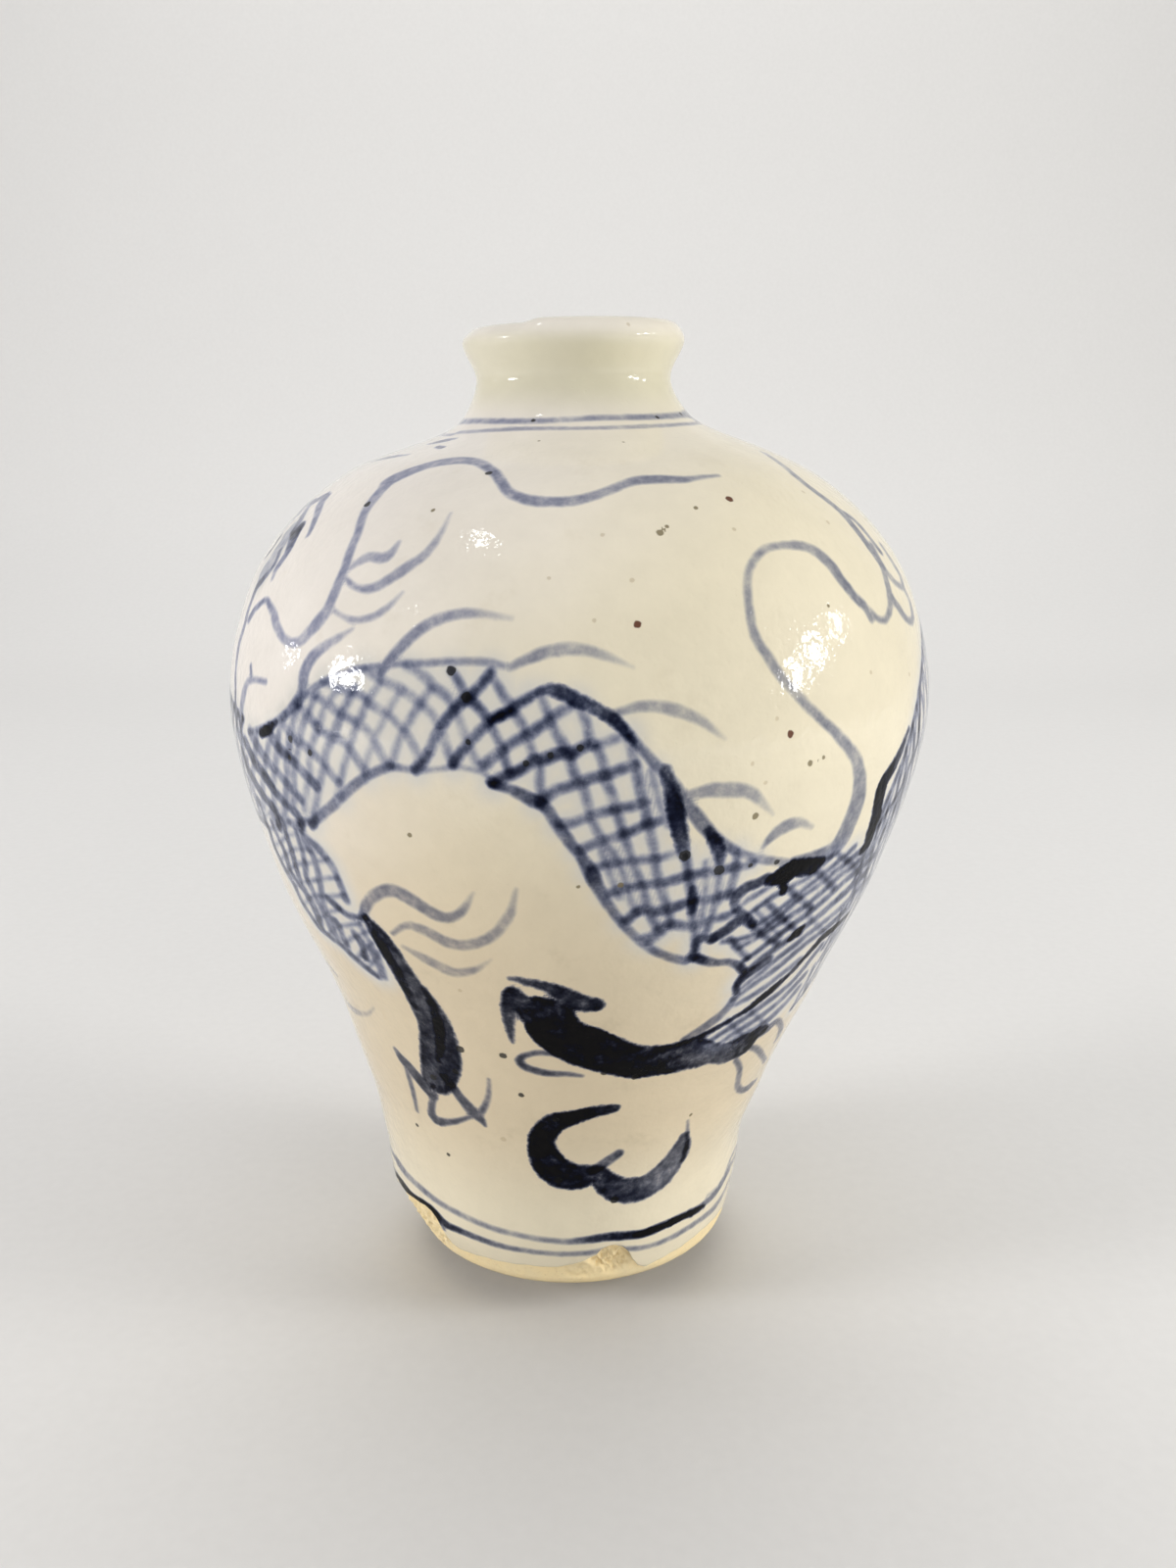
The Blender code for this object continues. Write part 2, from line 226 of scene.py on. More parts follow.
# A stroke is (widths, densities, path). Widths are millimetres as they look from the camera and
# spread, like densities, evenly along the path. Density 1 is pale grey-blue, 2 mid blue, 3 dark,
# 4.5 navy and 7 black.
FRONT_LINES = [
    # strokes at the upper left
    ((.3, .9, .4), (1.2, 2.0, .9), [(438, 453), (448, 451), (464, 448)]),
    ((.3, .7, .3), (1.0, 1.8, .8), [(379, 471), (396, 467), (417, 464)]),
    ((.5, .6), (1.6, 1.9), [(446, 456), (451, 457)]),
    # limb at the upper left edge
    ((.8, .9, .8, .7), (1.9, 1.6, 1.3, 1.1), [(332, 505.6), (323.5, 510.6), (312, 516), (306, 523.8),
     (298.5, 531), (289.8, 540)]),
    ((1.2, 1.1, .8, .5), (1.4, 1.5, 1.4, 1.2), [(331, 508.8), (327, 515), (324.8, 522.5), (322, 530),
     (318.5, 538.8), (314.8, 546)]),
    ((.7, .8, 1.0), (1.0, 1.3, 1.8), [(313.5, 518.8), (309.8, 525), (306, 532.5), (301, 540)]),
    ((1.5, 1.4, 1.0, .8, .7, .4), (3.2, 2.6, 1.9, 1.8, 1.6, 1.0), [(304, 541), (301, 546), (298.5, 552.5),
     (294.8, 561), (291, 567.5), (286, 575), (282, 581), (278.5, 590)]),
    ((.3, .35, .3), (5, 6, 4), [(287, 546), (282, 553.8), (277, 561), (271, 568.8)]),
    ((.5, .6, .8, .7, .9, .9, .7, .6, .6, .6), (1.2, 1.5, 2.0, 1.6, 1.2, 1.2, 1.5, 1.7, 1.7, 1.6),
     [(286, 562.5), (282, 572.5), (277, 581), (269.8, 590), (263.5, 597.5), (259.8, 605), (256, 615),
     (252, 627.5), (249.8, 637.5), (246, 650), (243.5, 661), (241.6, 675), (240.4, 687.5), (240.4, 700),
     (240.5, 716), (242, 735), (244, 752)]),
    # long whisker
    ((.7, .9, 1.5, 1.6, 1.8, 2.1, 1.7, 1.6, 1.5, 1.4, 1.4, 1.5, 1.6),
     (1.5, 1.4, .9, .9, .95, .95, 1.0, 1.0, 1.0, .95, .95, 1.0, 1.1), [(254.8, 631), (261, 621), (266, 616),
     (272, 612.5), (276, 618.8), (279.8, 626), (282, 636), (286, 645), (291, 652.5), (298.5, 656), (306, 655),
     (316, 645), (326, 633.8), (333.5, 623.8), (339.8, 611), (346, 595), (353, 578), (358, 562), (365, 546),
     (372, 524), (383, 508), (398, 491)]),
    ((1.6, 1.3, 1.4, 1.9, 2.0, 1.9, 1.6, 1.7, 1.3, .4), (1.3, 1.0, 1.1, 1.4, 1.2, 1.15, 1.05, 1.2, 1.15, .8),
     [(398, 491), (410, 485), (441, 474), (470, 470), (490, 473), (507, 485), (519, 502), (538, 510),
     (567, 512), (591, 510), (620, 501), (646, 491), (669, 489), (699, 489), (715, 487), (733, 485)]),
    # whisker wisps
    ((.5, 1.6, 1.9, .6), (.6, .9, .9, .5), [(355, 582), (368, 573), (378, 568), (392, 570), (401, 563),
     (407, 554)]),
    ((.6, 1.7, 1.9, 1.4, .4), (.9, 1.0, .9, .8, .4), [(350, 588), (363, 599), (377, 601), (395, 593),
     (414, 580), (434, 566), (449, 546), (460, 524)]),
    ((.4, 1.1, 1.3, .4), (.6, .8, .8, .4), [(337, 619), (348, 628), (363, 633), (380, 630), (395, 621),
     (411, 605)]),
    # flames along the back
    ((1.5, 1.9, 2.0, 1.9, 1.4, .5), (1.1, 1.1, 1.1, 1.0, .8, .4), [(306, 716), (309.8, 700), (311, 687.5),
     (316, 676), (323.5, 666), (333.5, 658.8), (346, 651), (360, 642)]),
    ((1.7, 2.1, 2.0, 1.6, .6), (1.2, 1.1, 1.0, .8, .3), [(390, 684), (410, 660), (431, 641), (453, 630),
     (482, 626), (507, 629), (522, 631)]),
    ((1.2, 2.1, 2.3, 1.6, .4), (.9, 1.0, .9, .6, .25), [(521, 681), (538, 673), (560, 665), (584, 662),
     (605, 665), (625, 672), (646, 681)]),
    ((1.0, 1.9, 2.2, 1.8, .4), (1.0, .9, .8, .7, .25), [(627, 728), (652, 721), (675, 721.6), (697, 727),
     (713, 734), (740, 754)]),
    ((1.6, 2.7, 2.9, 2.1, .5), (1.0, .9, .8, .8, .3), [(702, 812), (722, 807), (739, 806), (764, 808),
     (776, 817), (789, 831)]),
    ((.5, 1.9, 2.4, 1.0), (1.2, 1.1, .9, .4), [(779, 864.5), (788, 854), (797, 846.6), (815, 840),
     (829, 844)]),
    # little mark at the left edge
    ((.4, .5), (1.3, 1.2), [(256.5, 680), (257, 692)]),
    ((1.0, 1.1, .9, .7), (.9, 1.0, .8, .9), [(272, 696), (261, 693.5), (254, 695), (249.5, 706), (247, 720),
     (246, 741)]),
    # upper outline of the body
    ((1.0, 1.5, 1.9), (1.3, 1.4, 1.4), [(254, 747), (265, 744), (281, 737), (292, 729), (300, 720),
     (306, 712)]),
    ((1.5, 1.3, 1.2, 1.2), (1.0, 1.0, .9, .8), [(306, 712), (318, 704), (335, 694), (350, 688), (365, 683),
     (390, 680), (412, 677), (430, 677), (462, 675), (500, 676), (514, 680)]),
    ((1.1, 1.3, 1.5), (.9, 1.1, 1.6), [(523, 721), (535, 714.6), (543, 710), (552, 705)]),
    ((1.4, 1.8, 1.8, 2.0, 2.6, 2.6, 2.2, 1.8), (2.0, 1.4, 1.3, 1.5, 1.7, 1.8, 1.7, 1.6), [(644, 751),
     (655, 765), (670, 781), (688, 800), (702, 823), (712, 834), (722, 847), (738, 861), (752, 869)]),
    ((1.6, 1.8, 1.4), (1.2, 1.0, 1.2), [(752, 869), (768, 875), (782, 878), (809, 881)]),
    # loop that rises from the back
    ((2.2, 2.7, 2.8, 2.4, 1.8, 1.8, 1.8, 1.6, 1.4, 1.4), (1.8, 1.3, 1.15, 1.05, 1.15, 1.1, .95, .9, .82, .85),
     [(809, 881), (828, 876), (853, 865), (868, 839), (877.5, 806), (874, 775), (858, 753), (828, 724),
     (800, 693.6), (784, 670), (770, 647), (763, 600), (766, 578), (781, 560), (801, 556)]),
    ((1.4, 1.7, 1.8, 1.6, 1.6, 1.0), (.85, .9, 1.0, 1.0, 1.3, 1.05), [(801, 556), (823, 558), (843, 571),
     (863, 597), (874, 610.6), (883, 619), (889, 630.6)]),
    # claws at the right edge
    ((.9, 1.1, 1.1, .9, .8, .7), (.9, .95, .9, .85, .95, 1.1), [(888.9, 624), (896.7, 631.7), (903, 632.8),
     (907.8, 624), (908, 608), (904.4, 590.6), (900, 577), (890, 557)]),
    ((.7, .9, .8, .7), (.9, .9, .8, .9), [(905.6, 584), (914.4, 595), (921, 599), (919, 588), (911, 574),
     (900, 557)]),
    ((.8, 1.0, 1.0, .8, .6), (1.1, 1.2, 1.1, 1.0, .8), [(908.9, 608), (916.7, 619.4), (925.6, 631.7),
     (930, 634.5), (931.5, 627), (928, 612.8), (921, 598)]),
    ((.7, .8, .9, 1.0), (1.0, 1.1, 1.2, 1.2), [(780, 462), (798, 474), (817, 490), (830, 500), (857, 521),
     (875, 542), (890, 562), (901, 578)]),
    ((.6, .7), (1.0, 1.2), [(857, 521), (870, 529), (884, 544), (898, 562)]),
    # right edge
    ((.5, .5, .55, .5, .6), (1.8, 2.0, 2.2, 1.8, 1.4), [(942, 668), (940, 692.8), (939, 715), (938.9, 732.8),
     (937.8, 746), (935.6, 761.7), (927.8, 781.7), (921, 801.7), (914, 815), (905, 829), (896.7, 844)]),
    ((.8, 1.2, .8), (.9, 1.1, .9), [(925, 795), (923, 804), (919, 814)]),
    ((.8, 1.2, .8), (.9, 1.1, .9), [(917, 816), (914.4, 824), (910, 833)]),
    ((.8, 1.3, .8), (.9, 1.1, .9), [(906, 840), (903, 848), (898, 857)]),
    # lower outline of the body
    ((1.9, 2.0, 2.0, 1.9, 1.7, 1.6), (1.7, 1.5, 1.5, 1.4, 1.4, 1.3), [(318, 842), (325.4, 834), (338.5, 823),
     (347.7, 814), (360, 803), (372, 794), (386, 786), (400, 782)]),
    ((1.5, 1.0, .9, .9, 1.0), (1.2, .9, .8, .8, 1.0), [(400, 782), (413.8, 784), (427.7, 786), (444.6, 784.6),
     (461, 783), (476, 784), (493, 788), (503, 797)]),
    ((1.9, 1.7, 2.2, 2.6, 2.0), (3.4, 2.0, 2.4, 3.4, 2.0), [(503, 799), (517, 804), (531, 810), (543, 816),
     (552, 820), (560, 827)]),
    ((2.0, 2.2, 2.0, 2.8, 2.0, 1.8, 1.6, 1.6, 1.6), (1.8, 2.2, 1.9, 2.6, 1.7, 1.6, 1.5, 1.5, 1.5),
     [(560, 827), (567.7, 840.8), (577, 853), (584.6, 864), (590.8, 870), (597, 880), (603, 890), (608, 901),
     (620, 922), (632, 938), (642, 950), (661, 966), (684, 977), (700, 981)]),
    ((1.5, 1.8, 1.6, 1.2, 1.4, 1.9), (2.0, 3.8, 2.8, 1.8, 2.4, 3.6), [(700, 980), (708, 977), (716.7, 980),
     (730, 983), (743, 982), (753, 985), (759, 991)]),
    ((1.2, 1.4, 1.2), (3.6, 3.2, 2.8), [(751.7, 1016.7), (751.7, 1006.7), (760, 996.7), (773, 988),
     (784, 980)]),
    ((1.2, 1.4, 1.6), (1.5, 1.4, 1.8), [(751, 1017), (740, 1032), (726.7, 1043), (713, 1053), (700, 1062)]),
    # fold between the body and the tail
    ((1.6, 1.8, 1.9, 1.8), (3.4, 2.8, 2.6, 3.6), [(783, 896.7), (773, 901.7), (763, 905), (755, 911.7),
     (750, 920), (751.7, 928), (760, 935), (768, 943)]),
    ((1.9, 1.8, 1.6), (3.8, 3.0, 3.4), [(768, 943), (758, 938), (753, 940), (745, 946.7), (735, 953),
     (726.7, 958)]),
    ((1.4, 1.3, 1.5), (2.0, 1.6, 3.0), [(726, 958), (716.7, 957), (711, 960), (709, 968), (708, 976.7)]),
    # lower left leg
    ((1.0, 1.6, 1.4, 1.0), (1.2, 2.4, 2.2, 1.2), [(374, 941), (388, 962), (402, 984), (414, 1006),
     (424, 1028)]),
    ((.8, 1.4, 1.8, 1.8, 1.2), (1.6, 3.0, 4.0, 4.2, 3.0), [(434, 1008), (443, 1030), (449, 1052),
     (449, 1068.8), (447.5, 1081)]),
    ((.5, .5), (1.0, .9), [(333, 982), (343, 994)]),
    ((.4, .9, .9, .4), (.5, .7, .6, .4), [(352, 1021), (363, 1032), (376, 1034), (382, 1028)]),
    # claws of the left foot
    ((.5, 1.3, 1.4, 1.7, 1.6), (1.6, 2.2, 2.4, 3.4, 3.2), [(403.8, 1071), (411, 1081), (420, 1091),
     (427.5, 1100), (433.8, 1107.5), (441, 1116)]),
    ((.6, .7, .7, .5), (1.4, 1.7, 1.7, 1.6), [(413.8, 1087.5), (418.8, 1102.5), (422.5, 1117.5),
     (425.6, 1133)]),
    ((1.5, 1.3, 1.2, 1.5, 1.4, 1.0, .8, .5), (3.0, 2.6, 2.2, 3.0, 2.2, 2.0, 2.0, 1.8), [(442.5, 1108.8),
     (443, 1117.5), (441, 1127.5), (441, 1136), (445, 1142.5), (453.8, 1144.4), (465, 1143.8), (475, 1141),
     (482.5, 1138)]),
    ((1.2, 1.4, 1.4, 1.5, 2.0, 1.6, .3), (3.2, 3.0, 2.6, 2.6, 2.4, 2.2, 1.8), [(453.8, 1098.8), (460, 1106),
     (467.5, 1116), (475, 1125), (482.5, 1133.8), (490, 1141), (495, 1148)]),
    ((.4, .8, 1.1, 1.3), (1.4, 1.7, 2.0, 2.2), [(498.8, 1101), (499.4, 1112.5), (497.5, 1123.8),
     (493.8, 1130), (490, 1136)]),
    ((1.4, 1.8, 1.2), (1.2, 1.2, 1.4), [(441, 1112), (449, 1112), (459, 1108)]),
    # wisps of the left leg
    ((1.8, 2.4, 2.4, 2.2, 2.0, 1.7, .5), (1.6, 1.3, 1.2, 1.2, 1.1, 1.0, .4), [(371, 936), (374, 924),
     (382, 914), (399, 908), (422, 919), (445, 933), (459, 936), (472, 929), (483, 911)]),
    ((.8, 1.7, 1.9, 2.0, 1.9, .6), (1.0, .9, .9, .9, .8, .4), [(401, 952), (415, 944), (434, 949), (457, 961),
     (476, 964), (503, 954), (520, 933), (527, 907)]),
    ((.5, 1.5, 1.8, 1.4, .4), (.5, .8, .8, .7, .3), [(412, 966), (442, 982), (466, 992), (487, 988),
     (501, 979)]),
    # claws of the right foot
    ((.8, .8, .9, 1.2, 1.2, 1.1, 1.0, .8, .4), (2.4, 2.2, 2.2, 2.8, 2.6, 2.4, 2.2, 1.8, 1.4), [(570, 1076),
     (556, 1073.8), (543.8, 1074.4), (532.5, 1078), (529.4, 1082), (535, 1087.5), (547.5, 1092.5),
     (562.5, 1095), (577.5, 1095.6), (593.8, 1097.5)]),
    ((1.1, 1.1, 1.0, 1.2, 1.1, .9, .3), (1.7, 1.7, 1.6, 1.7, 1.8, 2.4, 1.8), [(751, 1082), (755, 1089),
     (754.4, 1099), (752.8, 1106.7), (755.6, 1112.5), (761, 1112), (766.7, 1107.8), (772, 1102.8)]),
    ((1.1, 1.2, 1.1), (1.7, 1.7, 1.4), [(766.7, 1069), (773, 1071), (777.8, 1076.7), (781, 1083)]),
    ((.9, 1.0, 1.0, .9, .7), (2.6, 2.3, 2.0, 2.2, 1.8), [(780, 1053), (787.8, 1046.7), (793, 1042),
     (797, 1045.6), (796.7, 1053), (792.8, 1061)]),
    # hair of the cloud
    ((.9, .8, .4), (3.0, 2.0, 1.2), [(697, 1183), (701, 1165), (702, 1144)]),
    ((1.6, 1.6, 1.4), (3.4, 3.0, 3.0), [(603, 1195), (618, 1186), (631, 1177)]),
    # by the rings above the foot
    ((.5, .8, .4), (4.0, 3.4, 1.6), [(440, 1234), (450, 1244), (453, 1254)]),
    ((.4, .4, .4), (.8, .8, .6), [(752, 1168), (744, 1186), (735, 1208), (722, 1220)]),
]

# Rings right round the jar: the photographed side's strokes, from left to right
RINGS = [
    ((1.0, 1.1, 1.0, 1.1, 1.0), (.9, 1.05, .85, 1.0, 1.05), [(469, 430.5), (477, 430), (540, 430),
     (606, 426.5), (671, 425), (701, 423), (712, 423.5)]),
    ((.6, .7, .6, .7, .6), (.75, .85, .65, .75, .85), [(467, 441.5), (532, 437.6), (606, 436.7), (680, 434),
     (714, 431.5)]),
    ((.8, .9, .9, .9, 1.0, 1.5, 1.3, .9, .8), (1.6, 1.1, 1.0, 1.0, 1.1, 5.2, 6.2, 2.0, 1.4), [(405, 1184),
     (414, 1197), (426, 1209), (440, 1221), (456, 1232), (502, 1253), (543, 1263), (579, 1267), (622, 1262),
     (655, 1259), (678, 1250), (699, 1240), (715, 1231), (729, 1218), (738, 1204), (745, 1190)]),
    ((.9, 1.2, .9, .8, .9, .8, .8, .8), (4.6, 5.2, 2.0, 1.2, 1.0, 1.1, 1.2, 1.0), [(406, 1201), (411, 1209),
     (421, 1221), (433, 1229), (441, 1235), (449, 1244), (456, 1250), (472, 1257), (489, 1264), (514, 1272),
     (559, 1279), (597, 1279), (622, 1275), (644, 1274), (656, 1273), (676, 1267), (705, 1251), (727, 1234),
     (738, 1218), (743, 1206)]),
]

# Broad marks, filled between two edges: (densities, one edge, the other edge)
FRONT_SHAPES = [
    # lower left leg
    ((5.6, 4.6, 3.8, 3.4, 3.4, 3.6, 3.6, 4.0, 3.4), [(372, 938), (382, 957), (392, 975), (402, 993),
     (413, 1012), (422, 1030), (430.6, 1050), (432, 1062.5), (432.5, 1075), (432.5, 1087.5), (433, 1100)],
     [(377, 936), (392, 950), (405, 966), (417, 985), (430, 1003), (444, 1020), (456, 1038), (463, 1055),
     (467, 1070), (467, 1085), (460, 1101)]),
    # right foot and leg
    ((4.4, 6.2, 7.8, 8.2, 7.4, 6.8, 6.4), [(533, 1015), (545, 1018.5), (562.5, 1019), (571, 1031),
     (587.5, 1043.8), (600, 1047.5), (612.5, 1053.8), (625, 1060), (637.5, 1066), (654, 1068.8)],
     [(531, 1027), (538, 1036), (543.8, 1046), (551, 1050), (555, 1058.8), (561, 1068.8), (581, 1082),
     (598.8, 1088.5), (616, 1093), (637.5, 1097.5), (654, 1099)]),
    ((6.4, 7.0, 6.6, 5.4, 4.2, 3.2, 3.0, 4.8, 6.2, 3.8), [(650, 1068.8), (672, 1068), (690, 1065),
     (702, 1062), (712, 1066), (730, 1069), (741, 1066.7), (751, 1062), (761, 1060), (767, 1054.4),
     (777, 1050)], [(650, 1099), (672, 1096), (690, 1093), (702, 1090), (718, 1086), (730, 1082),
     (746.7, 1080), (755.6, 1075.6), (764.4, 1071), (768, 1066), (774.4, 1059), (781, 1053)]),
    # claws of the right foot
    ((4.6, 5.0, 4.2, 3.4, 3.0, 2.8, 2.4), [(516, 1010), (513, 1014), (512.3, 1026), (513.8, 1038.8),
     (517.5, 1051), (520.6, 1060), (522.5, 1063)], [(531, 1015), (531, 1024), (527, 1031), (525, 1039),
     (524, 1051), (524, 1060), (523.5, 1063)]),
    ((2.6, 3.4, 4.0, 4.8, 4.8, 4.0), [(520, 997), (528.8, 997), (540, 999.4), (555, 1002), (570, 1005.6),
     (582.5, 1010.6), (597.5, 1017), (608.8, 1019.4), (614.4, 1023.8)], [(521, 999.8), (532.5, 1003),
     (550, 1008), (562.5, 1013), (571, 1020), (580, 1028), (590, 1030.6), (606, 1030.6), (613, 1027.5)]),
    # left comma of the cloud
    ((6.0, 7.0, 7.6, 7.8, 7.8, 7.2, 6.0, 4.4, 4.0), [(627, 1127), (603, 1130), (576, 1137), (554, 1143),
     (544, 1158), (544, 1174), (549, 1192), (560, 1206), (573, 1212), (592, 1211), (603, 1196)], [(626, 1134),
     (603, 1140), (585, 1145), (568, 1152), (562, 1159), (563, 1167), (568, 1176), (576, 1183), (586, 1188),
     (597, 1189), (608, 1190)]),
    # right comma of the cloud
    ((5.2, 4.8, 4.2, 3.2, 2.6, 2.4, 2.8, 3.4), [(607, 1194), (607, 1209), (615, 1219), (626, 1225),
     (649, 1226), (665, 1219), (677, 1211), (688, 1197), (697, 1181), (700, 1162)], [(614, 1190), (621, 1194),
     (628, 1199), (638, 1203), (650, 1202), (661, 1199), (672, 1190), (682, 1179), (690, 1168), (696, 1158)]),
    # crest of the second hump
    ((1.8, 3.1, 3.3, 3.2, 3.6, 2.4), [(548, 703), (565, 698), (588, 707), (610, 718), (630, 730), (642, 743),
     (648, 756)], [(550, 707), (565, 710), (585, 720), (605, 728), (622, 739), (634, 749), (643, 759)]),
    # dark bars down the second hump
    ((2.6, 3.6, 4.6, 3.8, 3.4, 2.2), [(674, 786), (677, 800), (680, 822), (685, 845), (690, 862), (694, 874)],
     [(685, 787), (690, 802), (697, 824), (701, 846), (703, 862), (703, 874)]),
    ((2.4, 3.8, 3.2, 1.6), [(719, 849), (722, 857), (727, 868), (732, 880)], [(726, 847), (735, 855),
     (740, 866), (739, 880)]),
    # black clump where the loop leaves the back
    ((5.0, 7.0, 7.4, 7.0, 6.0, 5.0), [(784, 896), (793, 889), (801, 883), (811, 879), (822, 878), (838, 876)],
     [(786, 902), (796, 901), (805, 899), (813, 893), (822, 888), (838, 884)]),
]

# Strokes of the loaded brush
FRONT_BRUSH = [
    ((1.0, 1.3, 1.0), (1.6, 3.4, 1.8), [(521, 725), (511, 730.5), (501, 736)]),
    ((1.2, 1.9, 1.5), (1.6, 2.8, 1.8), [(707, 907), (707, 920), (706, 930)]),
    ((2.8, 3.0), (4.4, 4.8), [(523, 1015), (533, 1022), (541, 1030)]),
    ((1.6, 1.9, 1.5, .9), (6.0, 7.0, 6.5, 5.0), [(267, 748), (271, 746), (276, 743), (282, 737)]),
    ((1.8, 1.2), (7.0, 6.0), [(800, 899), (800, 910)]),
    ((.5, .9, .7, 1.0, .8, .9, .5), (4.0, 6.8, 4.6, 7.0, 4.8, 6.8, 4.0), [(648, 1260), (660, 1257),
     (672, 1253), (684, 1248), (696, 1242), (708, 1237), (718, 1231)]),
    ((.4, .9, .8, 1.0, .5), (5.0, 7.0, 5.6, 7.0, 4.0), [(404, 1198), (411, 1209), (421, 1221), (433, 1229),
     (447, 1241)]),
    ((1.0, 1.4, 1.2, .8), (5.0, 6.4, 6.0, 5.0), [(817, 892), (828, 888), (837, 883)]),
    ((.3, .8, 1.3, 1.7, 1.7, 1.4, 1.0), (2.5, 3.4, 5.5, 6.8, 6.6, 5.6, 4.5), [(927.8, 744), (918.9, 768),
     (910, 786), (902, 799.4), (897.8, 815), (894.4, 832.8), (890, 846), (884.4, 864), (881, 867)]),
    ((1.0, .8, .7, .6, .9, 1.0, .6, .6, .9, .8, .5), (5.0, 6.4, 3.6, 4.0, 6.6, 6.6, 3.4, 4.4, 6.8, 6.2, 3.0),
     [(695, 1067), (717, 1057), (732, 1049), (748, 1040), (765, 1029), (776, 1020), (785, 1013), (793, 1006),
     (807, 993), (821, 978), (830, 968), (838, 959), (852, 947), (866, 933)]),
    ((.7, 1.1, .7), (4.5, 6.5, 4.5), [(808, 958), (814, 952), (819, 947)]),
]

